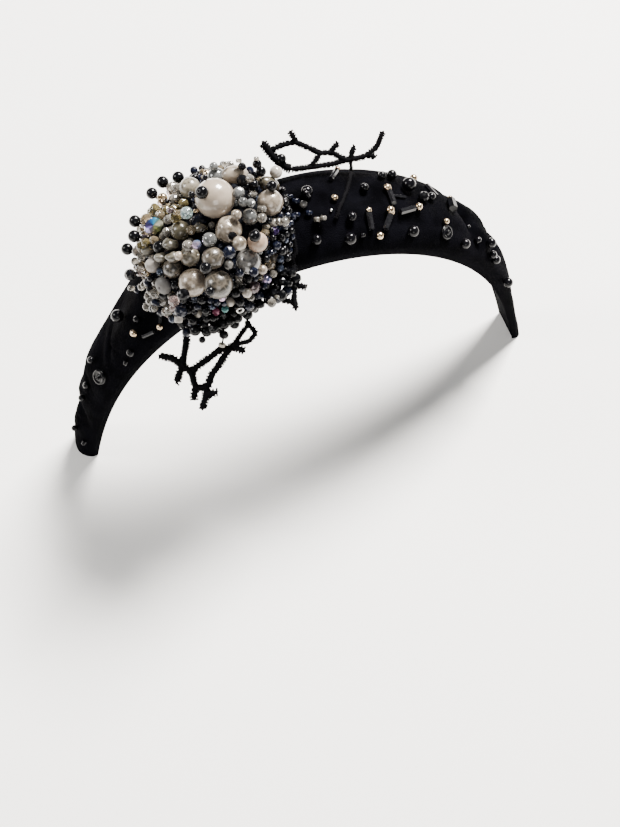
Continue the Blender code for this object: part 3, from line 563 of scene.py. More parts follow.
# ---- resting places
PILE_ROOM = 4000
TOUCH, STEP_SHARE, LEAST_STEP, MOST_STEPS = 0.02 * MM, 0.92, 0.01 * MM, 200


class Pile:
    """Surfaces and beads that are already in place, the strands of small beads and the wires."""

    def __init__(self, velvet, dome):
        self.velvet, self.dome = velvet, dome
        self.centres, self.radii = np.zeros((PILE_ROOM, 3)), np.zeros(PILE_ROOM)
        self.count = 0
        self.strands = {name: Strand() for name in SURFACES}
        self.wires = []

    def add(self, centre, radius):
        self.centres[self.count] = centre
        self.radii[self.count] = radius
        self.count += 1

    def bead(self, surface, shape, place, axis, radius, stretch=None, spin=0.0, room=None):
        """One small bead; the room it takes is its radius where none is given."""
        stretch = stretch or STRETCHES.get(shape, ROUND)
        self.strands[surface].add(shape, bead_matrix(place, axis, radius, stretch, spin))
        self.add(place, radius if room is None else room)

    def gaps(self, centre, radius):
        away = np.linalg.norm(self.centres[:self.count] - np.array(centre), axis=1)
        return away - self.radii[:self.count] - radius

    def clearance(self, centre, radius):
        least = min(tree.find_nearest(centre)[3] - radius for tree in (self.velvet, self.dome))
        return min(least, float(self.gaps(centre, radius).min())) if self.count else least

    def travel(self, start, direction, radius, reach):
        """Rolls a ball along a ray until it touches; None when nothing stops it."""
        gone = 0.0
        for _ in range(MOST_STEPS):
            spare = self.clearance(start + direction * gone, radius)
            if spare < TOUCH:
                break
            gone += max(spare * STEP_SHARE, LEAST_STEP)
            if gone > reach:
                return None
        return start + direction * gone


def cluster_matrix():
    base, outward, forward = arch_frame(CLUSTER_ALONG)
    origin = base + outward * (band_depth(CLUSTER_ALONG) + fold_height(CLUSTER_ALONG, 0.0, FOLDS))
    rows = Matrix((forward, Vector((0.0, 1.0, 0.0)), outward)).transposed()
    return Matrix.Translation(origin) @ rows.to_4x4()


CLUSTER = cluster_matrix()
FOCUS = CLUSTER @ (DOME_CENTRE - Vector((0.0, 0.0, FOCUS_DROP)))


def cluster_way(x, y, z):
    """Direction given in the cluster's frame."""
    return (CLUSTER.to_3x3() @ Vector((x, y, z))).normalized()


def cluster_ray(turn, tilt):
    turn, tilt = math.radians(turn), math.radians(tilt)
    return cluster_way(math.sin(tilt) * math.cos(turn), math.sin(tilt) * math.sin(turn), math.cos(tilt))


# ---- places read from the solids
BAND_MIDDLE = Vector((0.001, 0.010, 0.030))


def node_points(name):
    """Distinct points of a node's mesh."""
    points = np.array([vert.co for vert in NODES[name].data.vertices])
    return np.unique(points.round(7), axis=0)


def ball_place(name):
    """Middle and radius of a round node."""
    points = node_points(name)
    middle = (points.min(0) + points.max(0)) / 2
    return Vector(middle), float(np.linalg.norm(points - middle, axis=1).max())


def turned_place(name, axis):
    """Lowest point of a turned node on its own axis."""
    points = node_points(name)
    middle = points.mean(0)
    return Vector(middle + np.array(axis) * ((points - middle) @ np.array(axis)).min())


def node_axes(name):
    """Middle of a node, its points about it, and its own directions from the thinnest to the longest."""
    points = node_points(name)
    middle = points.mean(0)
    return middle, points - middle, np.linalg.eigh(np.cov((points - middle).T))[1]


def thin_axis(name):
    """Direction in which a flat node is thinnest, pointing away from the band."""
    middle, _, axes = node_axes(name)
    axis = Vector(axes[:, 0])
    return axis if axis.dot(Vector(middle) - BAND_MIDDLE) > 0 else -axis


def tree_of(piece):
    work = bmesh.new()
    work.from_mesh(piece.data)
    tree = BVHTree.FromBMesh(work)
    work.free()
    return tree


# Main beads: how each looks, and the way its hole points as turn and tilt
MAIN_BEADS = [
    # node, shape, surface, turn, tilt
    ("off_white_bead", "ball", "matte_white", 190, 90), ("cream_pearl_low", "ball", "pearl", 200, 80),
    ("marbled_pearl", "ball", "grey_pearl", 250, 100), ("crackle_ball_left", "ball", "crackle", 100, 90),
    ("frosted_lens", "lens", "frosted", 221, 54), ("black_crystal_low", "cut", "black", 235, 63),
    ("crackle_ball_mid", "ball", "crackle", 190, 100), ("cream_glass_left", "ball", "cream_glass", 160, 100),
    ("baroque_pearl", "baroque", "pearl", 220, 90), ("olive_glass_ball", "ball", "olive_glass", 90, 90),
    ("ab_crystal_left", "cut", "ab_large_painted_glint", 100, 70), ("cream_pearl_right", "ball", "pearl", 190, 90),
    ("cream_quartz_rear", "ball", "cream_glass", 20, 90), ("grey_glass_rear", "ball", "grey_glass", 20, 90),
    ("cream_oval_rear", "oval", "cream", 22, 46), ("smoky_oval", "oval", "smoky", 12, 70),
    ("white_pearl_rear", "ball", "white_pearl", 90, 90), ("navy_crystal", "cut", "navy", 308, 12),
    ("clear_crystal_mid", "cut", "clear", 335, 49),
]
CAPPED_BEADS = [
    # node, surface, turn and tilt of the cap, radius in mm, the cap's as a share of it
    ("ivory_ball", "ivory", 231, 18, 6, 0.33), ("peach_ball", "peach", 309, 16, 3, 0.6),
    ("crackle_ball_low", "crackle", 237, 50, 4.25, 0.33),
]
CAP_SEAT, CAP_STRETCH = 0.75, (1.0, 1.0, 0.96)
PIN_BEADS = [
    # node, head radius, turn, tilt, stem
    ("pin_bead_a", 1.9, 90, 59, 5), ("pin_bead_b", 1.9, 102, 56, 6), ("pin_bead_c", 1.8, 115, 50, 6),
    ("pin_bead_d", 1.9, 146, 47, 5), ("pin_bead_e", 1.9, 162, 46, 5), ("pin_bead_f", 1.9, 157, 69, 5),
    ("pin_bead_g", 1.8, 189, 58, 5), ("pin_bead_h", 1.9, 205, 30, 5),
]
STEM_RADIUS, STEM_BEAD_RADIUS, STEM_BEAD_SHARE = 0.45 * MM, 1.32 * MM, 0.35
STEM_BEAD_STRETCH = (1.0, 1.0, 1.2)
# Room that the flatter shapes take, as a share of their radius, and the balls that stand for an oval
FLAT_ROOM = {"lens": 0.8, "cut": 0.8}
OVAL_ROOM, OVAL_SPOTS = 0.96, (-0.6, 0.0, 0.6)
ROUND_ON_BAND = ("black_bead_rear_left", "black_bead_top", "black_bead_front_a", "black_bead_front_b",
                 "black_bead_right_a", "black_bead_right_c", "black_bead_right_d")
ROUND_AXIS = Vector((0.9, 0.35, 0.1)).normalized()
# Rimmed lentils: radius in mm; the seat, the centre bead and the room as shares of it
LENTILS = [("lentil_bead_left", 2.6), ("lentil_bead_right", 2.3)]
LENTIL_SEAT, LENTIL_CENTRE, LENTIL_ROOM, CENTRE_RADIUS = 0.30, 0.42, 0.9, 0.7 * MM
BUGLE_NODES = ("bugle_rear", "bugle_mid", "bugle_front_a", "bugle_front_b", "bugle_block")
BUGLE_END_GAP, BUGLE_END_RADIUS = 0.75 * MM, 1.0 * MM


def fine_bead(node, shape, place, axis, radius, surface, ending="fine"):
    """Fine mesh of one main bead in place of its node."""
    verts, faces, smooth = SHAPES[shape]
    placed = moved(verts, bead_matrix(place, axis, radius, STRETCHES.get(shape, ROUND)))
    finish_piece(mesh_object(f"{node}_{ending}", placed, faces, smooth), surface, node)


def make_main_beads(pile):
    for node, shape, surface, turn, tilt in MAIN_BEADS:
        axis = cluster_ray(turn, tilt)
        place, radius = ball_place(node)
        if shape == "oval":
            axis = Vector(node_axes(node)[2][:, 2])
            radius /= STRETCHES["oval"][2]
            fine_bead(node, shape, place, axis, radius, surface, "glass")
            for shift in OVAL_SPOTS:
                pile.add(place + axis * shift * radius, radius * OVAL_ROOM)
        else:
            fine_bead(node, shape, place, axis, radius, surface)
            pile.add(place, radius * FLAT_ROOM.get(shape, 1.0))


def make_capped_beads(pile):
    for node, surface, turn, tilt, radius, share in CAPPED_BEADS:
        axis = cluster_ray(turn, tilt)
        radius *= MM
        place = turned_place(node, axis) + axis * radius
        fine_bead(node, "ball", place, axis, radius, surface)
        pile.add(place, radius)
        cap = place + axis * radius * (1 + CAP_SEAT * share)
        pile.bead("black", "ball", cap, axis, radius * share, CAP_STRETCH)


def make_pins(pile):
    for node, head, turn, tilt, stem in PIN_BEADS:
        axis = cluster_ray(turn, tilt)
        foot = turned_place(node, axis)
        top = foot + axis * stem * MM
        shell = Shell()
        shell.tube([foot, top], STEM_RADIUS, 8)
        shell.add([Vector(v) for v in moved(BALL[0], bead_matrix(top, axis, head * MM))], BALL[1])
        shell.make(f"{node}_head", "black", node)
        pile.add(top, head * MM)
        low = foot + axis * stem * MM * STEM_BEAD_SHARE
        pile.bead("pink_clear", "seed", low, axis, STEM_BEAD_RADIUS, STEM_BEAD_STRETCH)


def make_band_rounds(pile):
    for node in ROUND_ON_BAND:
        place, radius = ball_place(node)
        fine_bead(node, "ball", place, ROUND_AXIS, radius, "black")
        pile.add(place, radius)
    for node, radius in LENTILS:
        axis = thin_axis(node)
        radius *= MM
        place = turned_place(node, axis) + axis * LENTIL_SEAT * radius
        fine_bead(node, "lentil", place, axis, radius, "black")
        centre = place + axis * LENTIL_CENTRE * radius
        pile.strands["black"].add("seed", bead_matrix(centre, axis, CENTRE_RADIUS))
        pile.add(place, radius * LENTIL_ROOM)
    for node in BUGLE_NODES:
        dress(NODES[node], "black" if node == "bugle_block" else "bugle")
        middle, points, axes = node_axes(node)
        middle, axis = Vector(middle), Vector(axes[:, 2])
        reach = points @ axes[:, 2]
        half = float(reach.max())
        radius = float(np.linalg.norm(points - np.outer(reach, axes[:, 2]), axis=1).max())
        for shift in np.linspace(-1, 1, 5):
            pile.add(middle + axis * shift * (half - radius), radius)
        end = middle + axis * (1.0 if axis.y > 0 else -1.0) * (half + BUGLE_END_GAP)
        pile.strands["gold"].add("bead", bead_matrix(end, axis, BUGLE_END_RADIUS))


# ---- small beads of the cluster
GROUND_RINGS = [
    # tilt from the dome's top in degrees, first and last turn, number of beads, diameter in mm
    (37, 88, 208, 5, 3.6), (60, 0, 336, 15, 3.6), (82, 9, 351, 20, 3.8), (102, 218, 322, 7, 4),
]
# Surfaces of those beads on the side of the pins and on the other sides
GROUND_LEFT = ("clear", "champagne", "clear", "navy", "olive_clear", "clear", "steel")
GROUND_REST = ("navy", "black", "black", "navy", "black", "steel", "black")
GROUND_TURNS = (80.0, 212.0)
GROUND_SEED, GROUND_LEAN, GROUND_SIZES, GROUND_GROWTH = 4, 3, (0.9, 1.1), 1.03


def dome_point(turn, tilt):
    ring = max(math.sin(tilt), 0.0) ** DOME_POWER
    height = (DOME_HEIGHT if tilt <= math.pi / 2 else DOME_DROP) * math.cos(tilt)
    x = DOME_CENTRE.x + DOME_HALF[0] * ring * math.cos(turn)
    y = DOME_CENTRE.y + DOME_HALF[1] * ring * math.sin(turn)
    return CLUSTER @ Vector((x, y, height))


def make_ground(pile):
    """Smooth beads round those that are fused to the dome."""
    picker = random.Random(GROUND_SEED)
    number = 0
    for tilt, first, last, count, diameter in GROUND_RINGS:
        for k in range(count):
            turn = math.radians(first + (last - first) * k / (count - 1))
            lean = math.radians(tilt + picker.uniform(-GROUND_LEAN, GROUND_LEAN))
            radius = diameter * MM / 2 * picker.uniform(*GROUND_SIZES) * GROUND_GROWTH
            place = dome_point(turn, lean)
            mix = GROUND_LEFT if GROUND_TURNS[0] < math.degrees(turn) < GROUND_TURNS[1] else GROUND_REST
            pile.bead(mix[number % len(mix)], "bead", place, (place - FOCUS).normalized(), radius)
            number += 1


# Small beads by their place in the photograph: pixels, radius in pixels, shape, surface
PHOTO_BEADS = [
    # x, y, radius, shape, surface
    (170.5, 245, 8, "chip", "quartz"), (161, 257.5, 6.5, "chip", "quartz"),
    (172.5, 257.5, 7, "chip", "quartz"), (147.5, 251, 6, "chip", "quartz"), (200.5, 228, 7, "chip", "smoky"),
    (175.5, 217, 6.5, "cut", "olive_clear"), (191, 230, 5, "cut", "champagne"),
    (191.6, 194.4, 3.4, "bead", "black"), (242.7, 180.4, 6.4, "cut", "black"),
    (250, 178.5, 4.5, "cut", "clear"), (261.8, 209, 5, "seed", "clear"),
    (272, 186, 5.7, "bead", "black"), (261, 171.5, 5.5, "bead", "black"),
    (257, 164, 5, "bead", "black"), (256.4, 158.5, 3, "seed", "clear"),
    (242, 166.4, 4.4, "cut", "black"), (238.8, 160.6, 3.2, "seed", "clear"), (225, 164, 4, "seed", "clear"),
    (213.6, 166.4, 4.7, "bead", "grey_glass"), (205, 177.5, 3, "bead", "black"),
    (129.7, 274.5, 5.3, "cut", "black"), (138.7, 269, 3.8, "seed", "clear"),
    (172, 187.4, 6.5, "cut", "clear"), (174.4, 199.5, 6.5, "cut", "clear"),
    (166.8, 201.4, 2.6, "bead", "black"), (170.5, 210.5, 4, "seed", "brown"),
    (177, 212.5, 4, "seed", "champagne"), (186.5, 213, 6.5, "cut", "aqua"), (196, 211, 2.8, "seed", "gold"),
    (232.5, 236, 4.5, "cut", "black"), (239.4, 243.5, 7.5, "bead", "pearl"),
    (250, 216.7, 7.5, "bead", "grey_glass"), (236.3, 214.8, 5.5, "bead", "pearl"),
    (262, 218, 5, "bead", "clear"), (238.8, 192.5, 6, "cut", "grey_glass"),
    (243, 202, 5, "bead", "grey_glass"), (253, 194.5, 4.6, "cut", "clear"),
    (251, 203, 4.6, "cut", "grey_glass"), (273.5, 222.6, 5, "bead", "white_pearl"),
    (279, 221.8, 4, "cut", "clear"), (285, 222, 4.8, "cut", "clear"), (275, 231, 4.4, "cut", "violet"),
    (266, 228, 4.6, "bead", "cream_glass"), (229.3, 252.4, 6.6, "cut", "navy"),
    (228.6, 265, 5, "bead", "grey_pearl"), (187.8, 246, 6, "bead", "clear"),
    (196.7, 244.8, 5, "cut", "ab"), (209.5, 239.7, 7.5, "bead", "grey_glass"),
    (179, 256, 4.8, "bead", "ivory"), (147.8, 282.7, 5, "cut", "navy"),
    (137.7, 289.8, 4.5, "cut", "navy"), (131.5, 288.4, 4, "seed", "clear"), (149.2, 296.5, 6, "cut", "clear"),
    (146.8, 307, 5, "cut", "clear"), (164.5, 301.3, 6, "cut", "clear"), (174, 301.3, 6, "cut", "pink_clear"),
    (156, 305, 3.6, "seed", "gold"), (273.6, 257.7, 5.5, "bead", "crackle"),
    (270, 264.8, 6, "cut", "champagne"), (266.4, 279, 5.8, "cut", "ab"),
    (286.5, 252.8, 4.6, "bead", "grey_pearl"), (239.1, 284, 4.7, "bead", "clear"),
    (254, 287, 7, "cut", "brown"), (247, 293, 5.3, "bead", "white_pearl"),
    (230, 302.3, 5, "bead", "white_pearl"), (271.8, 303, 5, "cut", "clear"),
    (277, 297, 2.6, "seed", "clear"), (280, 268, 4.2, "cut", "steel"), (279, 242, 4.6, "cut", "navy"),
    (254, 272, 5, "cut", "navy"), (240, 273, 4.4, "bead", "navy"), (180.8, 311, 7, "cut", "navy"),
    (178.5, 320, 4.5, "seed", "matte_white"), (198, 313.5, 4.6, "bead", "white_pearl"),
    (203.3, 307, 4, "cut", "navy"), (216, 311.5, 4.6, "cut", "magenta"), (225, 309, 4, "bead", "teal"),
    (240, 310, 4.5, "ring", "silver"), (249.6, 306.5, 5, "cut", "navy"), (289.6, 197, 4, "seed", "navy"),
    (295.9, 201.4, 4.5, "seed", "navy"), (303.5, 204, 4.3, "bead", "grey_pearl"),
    (296.8, 214.8, 4, "seed", "navy"), (309, 213, 4, "seed", "navy"), (317, 219.5, 3.8, "seed", "clear"),
    (323.4, 218, 3.7, "seed", "clear"), (306.8, 194, 6, "lentil", "black"),
]
# Share of its radius at which a bead comes to rest, and the share of it that fillers keep free
CHIP_SEAT, BEAD_SEAT, PHOTO_DISC_SHARE = 0.75, 0.97, 0.8
FACING_OUT = ("cut", "ring", "lentil")
# Heads on short pins, and how far out each stands in mm or the node beside which it stands
PHOTO_PINS = [
    # x, y, radius, shape, surface, stand
    (183.2, 294.6, 6.5, "cut", "black", 1.0), (205.7, 268, 6, "bead", "black", 1.2),
    (275.8, 172.1, 6.6, "bead", "white_pearl", "smoky_oval"),
]
# Black beads that hang close together under the rim, within these corners in pixels; packed densely, they also
# stand in as painted shade under the rim
RIM_BEADS_AND_SHADE = [
    # corners in pixels of the black beads that hang close together under the rim and also stand in as its
    # painted shade
    (183, 324), (187, 333), (198, 331), (206, 328), (216, 331), (228, 328), (236, 320), (247, 316),
    (257, 309), (266, 302), (280, 301), (289, 292), (294, 283), (297, 273), (286, 268), (262, 280),
    (245, 292), (225, 300), (203, 308),
]
RIM_SEED, RIM_FRINGE_TRIES, RIM_FRINGE_OVERLAP, RIM_FRINGE_DEPTH = 7, 9000, 0.85 * MM, 2.2 * MM
RIM_FRINGE_LEAST, RIM_FRINGE_MOST = 1.2 * MM, 1.9 * MM
RIM_FRINGE_MIX = dict(black=80, navy=20)
# Beads that hang in front of the rim; each list is one wire, from the rim outwards
FRINGE = [
    [(216, 308, 3.2, "seed", "navy"), (221, 314.5, 3.6, "seed", "teal"),
     (223.3, 323.4, 6.8, "bead", "black"), (223.9, 334.8, 5, "cut", "black"),
     (222, 345, 3.8, "seed", "clear")],
    [(204, 313, 3.4, "seed", "steel"), (206.5, 321, 4.4, "cut", "navy"),
     (206.7, 331, 6, "bead", "black"), (202.2, 339.8, 3.6, "bead", "black")],
]
FRINGE_TILT = math.radians(25.0)
FRINGE_AT = CLUSTER @ (Vector((0.0, -17.6, -5.0)) * MM)
FRINGE_OUT = cluster_way(0.0, -math.cos(FRINGE_TILT), -math.sin(FRINGE_TILT))
FRINGE_NORMAL = cluster_way(1.0, 0.0, 0.0).cross(FRINGE_OUT).normalized()
FILLER_SEED, FILLER_TRIES, FILLER_LOWEST, FILLER_GROWTH = 11, 7000, -0.16, 1.02
FILLER_START, FILLER_LEAST = 42.0 * MM, 0.8 * MM
# How far from the dome a filler may lie, in general and beside the pins: turns and tilt
FILLER_NEAR, FILLER_NEAR_PINS, PIN_SIDE = 3.9 * MM, 1.6 * MM, (80.0, 200.0, 38.0)
DISC_SHARE = 1.05
# Small beads between the others: where in the picture each mix is found, and what is in it
FILLER_MIXES = [
    # least x, least y, most x, most y, shares of the surfaces, least and most radius in mm
    (0, 0, 700, 182, dict(clear=22, black=42, champagne=14, navy=14, grey_pearl=5, gold=3), 0.8, 1.5),
    (0, 182, 190, 228, dict(clear=40, olive_clear=24, champagne=20, brown=6, black=6, gold=4), 1.2, 2.1),
    (0, 228, 212, 264, dict(clear=44, olive_clear=20, champagne=16, cream_glass=8, black=6, ab=3), 1.2, 2.2),
    (0, 264, 180, 290, dict(clear=40, champagne=10, matte_white=6, navy=16, steel=12, black=14), 1, 1.8),
    (0, 290, 180, 900, dict(clear=36, pink_clear=6, steel=12, navy=24, black=22), 0.9, 1.7),
    (180, 296, 262, 900, dict(navy=34, black=56, steel=4, clear=2, ab=2, aqua=1), 0.9, 1.6),
    (262, 186, 700, 900, dict(black=66, navy=27, clear=3, champagne=1, steel=2), 0.8, 1.4),
    (212, 186, 262, 262, dict(clear=24, grey_glass=14, champagne=4, black=54, navy=6, grey_pearl=6),
     0.9, 1.7),
    (0, 0, 700, 900, dict(black=44, navy=28, clear=12, champagne=6, pearl=3, steel=6), 0.8, 1.5),
]
FILLER_SHAPES = {**dict.fromkeys(("clear", "champagne", "olive_clear", "navy", "steel", "ab", "aqua"), "cut"),
                 "gold": "seed", "pink_clear": "seed"}


def make_photo_beads(pile):
    """Small beads seated where they show; gives the places and radii that fillers keep free."""
    kept = []
    for x, y, pixels, shape, surface in PHOTO_BEADS:
        ray = pixel_ray(x, y)
        radius = pixels_to_metres(pixels, BEAD_LEVEL)
        room = radius * (CHIP_SEAT if shape == "chip" else BEAD_SEAT)
        place = pile.travel(CAM_PLACE + ray * SIGHT_START, ray, room, SIGHT_REACH)
        if place is None:
            continue
        axis = (place - FOCUS).normalized() if shape in FACING_OUT else across_view(x, y)
        pile.bead(surface, shape, place, axis, radius, spin=x, room=room)
        kept.append((place, radius * PHOTO_DISC_SHARE))
    return kept


def make_photo_pins(pile):
    """Heads held a little out of the other beads, each with a stem to the dome."""
    for x, y, pixels, shape, surface, stand in PHOTO_PINS:
        ray = pixel_ray(x, y)
        if stand in NODES:
            place = CAM_PLACE + ray * (ball_place(stand)[0] - CAM_PLACE).dot(ray)
            radius = pixels_to_metres(pixels, place)
        else:
            radius = pixels_to_metres(pixels, BEAD_LEVEL)
            place = pile.travel(CAM_PLACE + ray * SIGHT_START, ray, radius * BEAD_SEAT, SIGHT_REACH)
            place = place - ray * stand * MM
        near = pile.dome.find_nearest(place)[0]
        pile.wires.append([place, near])
        axis = across_view(x, y) if stand in NODES else (place - near).normalized()
        pile.bead(surface, shape, place, axis, radius)


def on_fringe(x, y):
    """Where the line of sight through a pixel meets the plane in which the fringe hangs."""
    ray = pixel_ray(x, y)
    return CAM_PLACE + ray * ((FRINGE_AT - CAM_PLACE).dot(FRINGE_NORMAL) / ray.dot(FRINGE_NORMAL))


def inside_corners(x, y, corners):
    """True where a pixel lies within the outline through the corners."""
    inside = False
    for (ax, ay), (bx, by) in zip(corners, corners[1:] + corners[:1]):
        if (ay > y) != (by > y) and x < ax + (y - ay) * (bx - ax) / (by - ay):
            inside = not inside
    return inside


def random_way(picker):
    return Vector([picker.uniform(-1, 1) for _ in range(3)]).normalized()


def make_rim_beads_and_shade(pile):
    """Black beads that hang close together under the rim and also stand in as painted shade there, each on a
    thread to one nearer the dome.
    """
    picker = random.Random(RIM_SEED)
    xs, ys = zip(*RIM_BEADS_AND_SHADE)
    placed = []
    for _ in range(RIM_FRINGE_TRIES):
        x, y = picker.uniform(min(xs), max(xs)), picker.uniform(min(ys), max(ys))
        if not inside_corners(x, y, RIM_BEADS_AND_SHADE):
            continue
        place = on_fringe(x, y) + FRINGE_NORMAL * picker.uniform(-1.0, 1.0) * RIM_FRINGE_DEPTH
        radius = picker.uniform(RIM_FRINGE_LEAST, RIM_FRINGE_MOST)
        if pile.clearance(place, radius) < -RIM_FRINGE_OVERLAP:
            continue
        surface = picker.choices(list(RIM_FRINGE_MIX), list(RIM_FRINGE_MIX.values()))[0]
        shape = picker.choice(("bead", "cut"))
        pile.bead(surface, shape, place, random_way(picker), radius)
        placed.append(((place - FRINGE_AT).dot(FRINGE_OUT), place))
    placed = [place for _, place in sorted(placed, key=lambda row: row[0])]
    for k, place in enumerate(placed):
        near = min([pile.dome.find_nearest(place)[0]] + placed[:k], key=lambda other: (other - place).length)
        pile.wires.append([near, place])


def make_fringe(pile):
    for row in FRINGE:
        line = [on_fringe(x, y) for x, y, _, _, _ in row]
        points = [pile.dome.find_nearest(line[0])[0]] + line
        pile.wires.append(points)
        for before, place, (_, _, pixels, shape, surface) in zip(points, line, row):
            pile.bead(surface, shape, place, (place - before).normalized(), pixels_to_metres(pixels, place))


def hides(place, kept):
    """True for a bead that would lie in front of one of the places and radii to keep free."""
    x, y = photo_pixel(place)
    away = (CAM_PLACE - place).length
    return any(away < far and math.hypot(x - u, y - v) < DISC_SHARE * size for u, v, size, far in kept)


def shown_disc(place, radius):
    """Where a bead shows in the picture: pixel, radius in pixels and distance."""
    away = (CAM_PLACE - place).length
    return *photo_pixel(place), radius * FOCAL_PX / away, away


def make_filler(pile, kept):
    """Small beads rolled in towards the dome's middle until they lie among the others."""
    picker = random.Random(FILLER_SEED)
    discs = [shown_disc(*spot) for spot in [ball_place(row[0]) for row in MAIN_BEADS] + kept]
    for _ in range(FILLER_TRIES):
        turn = picker.uniform(0, 360)
        tilt = math.degrees(math.acos(picker.uniform(FILLER_LOWEST, 1.0)))
        ray = cluster_ray(turn, tilt)
        seen = pile.travel(FOCUS + ray * FILLER_START, -ray, FILLER_LEAST, FILLER_START)
        if seen is None:
            continue
        x, y = photo_pixel(seen)
        mix, least, most = next(row[4:] for row in FILLER_MIXES
                                if row[0] <= x < row[2] and row[1] <= y < row[3])
        surface = picker.choices(list(mix), list(mix.values()))[0]
        radius = picker.uniform(least, most) * MM
        axis = random_way(picker)
        place = pile.travel(FOCUS + ray * FILLER_START, -ray, radius, FILLER_START)
        if place is None or hides(place, discs):
            continue
        by_pins = PIN_SIDE[0] < turn < PIN_SIDE[1] and tilt > PIN_SIDE[2]
        if pile.dome.find_nearest(place)[3] > (FILLER_NEAR_PINS if by_pins else FILLER_NEAR):
            continue
        shape = FILLER_SHAPES.get(surface, "bead")
        pile.bead(surface, shape, place, axis, radius * FILLER_GROWTH, room=radius)


# ---- small beads of the band
BAND_SEEDS = [
    # along, across, diameter, shape, surface
    (-54.9, -6.6, 2.4, "cut", "black"), (-58.3, -8.8, 2.5, "bead", "gold"),
    (-50.3, -12.6, 2, "bead", "gold"), (-64.1, -10.8, 2.5, "bead", "black"),
    (-68.5, -10.8, 1.9, "seed", "black"), (-80.1, -0.4, 2.4, "bead", "black"),
    (-90.4, -1.6, 2.4, "bead", "black"), (-95.9, -2, 2.3, "bead", "black"),
    (-111.8, -1.6, 2.2, "bead", "black"), (-115.7, -5, 2, "seed", "black"),
    (8.9, -1.7, 2.3, "bead", "gold"), (6.7, -6.3, 1.2, "seed", "silver"),
    (11.4, -8.9, 3.1, "bead", "black"), (13.7, -14.3, 1.8, "seed", "black"),
    (18.5, 1.7, 2.8, "bead", "black"), (25.5, 7, 2.8, "bead", "black"),
    (29, 7.5, 3.2, "bead", "black"), (25, 0.7, 2.5, "bead", "gold"),
    (22.8, -7.5, 2.7, "bead", "gold"), (18.5, -14.6, 2.5, "bead", "gold"),
    (32.1, -6.1, 2.5, "bead", "gold"), (37.1, 8.3, 2.6, "bead", "gold"),
    (35.6, -1.6, 3.8, "cut", "black"), (39.1, -0.4, 2.9, "bead", "black"),
    (42.1, -8.2, 2.2, "bead", "gold"), (50, -12.4, 3.2, "bead", "black"),
    (54.9, -4.8, 1.6, "seed", "black"), (58.5, -8.1, 2.6, "seed", "black"),
    (66.5, -9.5, 2.6, "bead", "black"), (69.3, -9.8, 3, "bead", "black"),
    (82.9, -9.5, 3.4, "bead", "black"),
]
BAND_SEATS = {"seed": 0.95, "cut": 0.86, "bead": 0.97}
# Seeds that would touch another bead are pushed along the velvet: rounds, what may overlap, what stays free
PUSHES, PUSH_OVERLAP, PUSH_FREE = 12, 0.05 * MM, 0.1 * MM
BAND_BUGLES = [
    # along and across of one end, along and across of the other end, diameter
    (-47.5, -10.5, -49.5, -12, 1.2), (-57.1, -11, -53.1, -12.3, 1.2), (26.1, -1.6, 29.9, -2.1, 1.3),
    (26.1, -7.8, 30.8, -6.5, 2), (40.9, 6.6, 42.3, 1.6, 1.6),
]
BUGLE_SPIN = math.radians(25.0)
BUGLE_SEAT, BUGLE_LOWEST, BUGLE_LIFT = 0.95, 0.8, 0.9
CROWN_SOURCE, CROWN_EDGE, CROWN_REACH = 0.6, 0.995, 20 * MM


def crown_seat(tree, along, across):
    """Place on the velvet at mm along and across, and the direction out of it."""
    along, across = along * MM, across * MM
    share = across / (band_width(along) / 2)
    source = arch_frame(along)[0] + Vector((0.0, across * CROWN_SOURCE, 0.0))
    target = crown_point(along, max(-CROWN_EDGE, min(CROWN_EDGE, share)))
    direction = (target - source).normalized()
    place, normal, _, _ = tree.ray_cast(target + direction * CROWN_REACH, -direction)
    return (place, normal) if place is not None else (target, direction)


def make_band_seeds(pile):
    for along, across, diameter, shape, surface in BAND_SEEDS:
        place, normal = crown_seat(pile.velvet, along, across)
        radius = diameter * MM / 2
        seat = place + normal * radius * BAND_SEATS[shape]
        for _ in range(PUSHES):
            gaps = pile.gaps(seat, radius)
            other = int(gaps.argmin())
            if gaps[other] > -PUSH_OVERLAP:
                break
            away = (seat - Vector(pile.centres[other])).normalized()
            away = (away - normal * away.dot(normal)).normalized()
            near, normal, _, _ = pile.velvet.find_nearest(seat + away * (PUSH_FREE - float(gaps[other])))
            seat = near + normal * radius * BAND_SEATS[shape]
        pile.bead(surface, shape, seat, normal.cross(CAM_BACK).normalized(), radius, spin=along)
    for along_a, across_a, along_b, across_b, diameter in BAND_BUGLES:
        radius = diameter * MM / 2
        ends = [crown_seat(pile.velvet, *spot) for spot in ((along_a, across_a), (along_b, across_b))]
        first, second = (place + normal * radius * BUGLE_SEAT for place, normal in ends)
        middle = (first + second) / 2
        near, normal, _, _ = pile.velvet.find_nearest(middle)
        if (middle - near).dot(normal) < radius * BUGLE_LOWEST:
            middle = near + normal * radius * BUGLE_LIFT
        size = (radius, radius, (second - first).length / 2)
        matrix = bead_matrix(middle, (second - first).normalized(), 1.0, size, BUGLE_SPIN)
        pile.strands["bugle"].add("bugle", matrix)


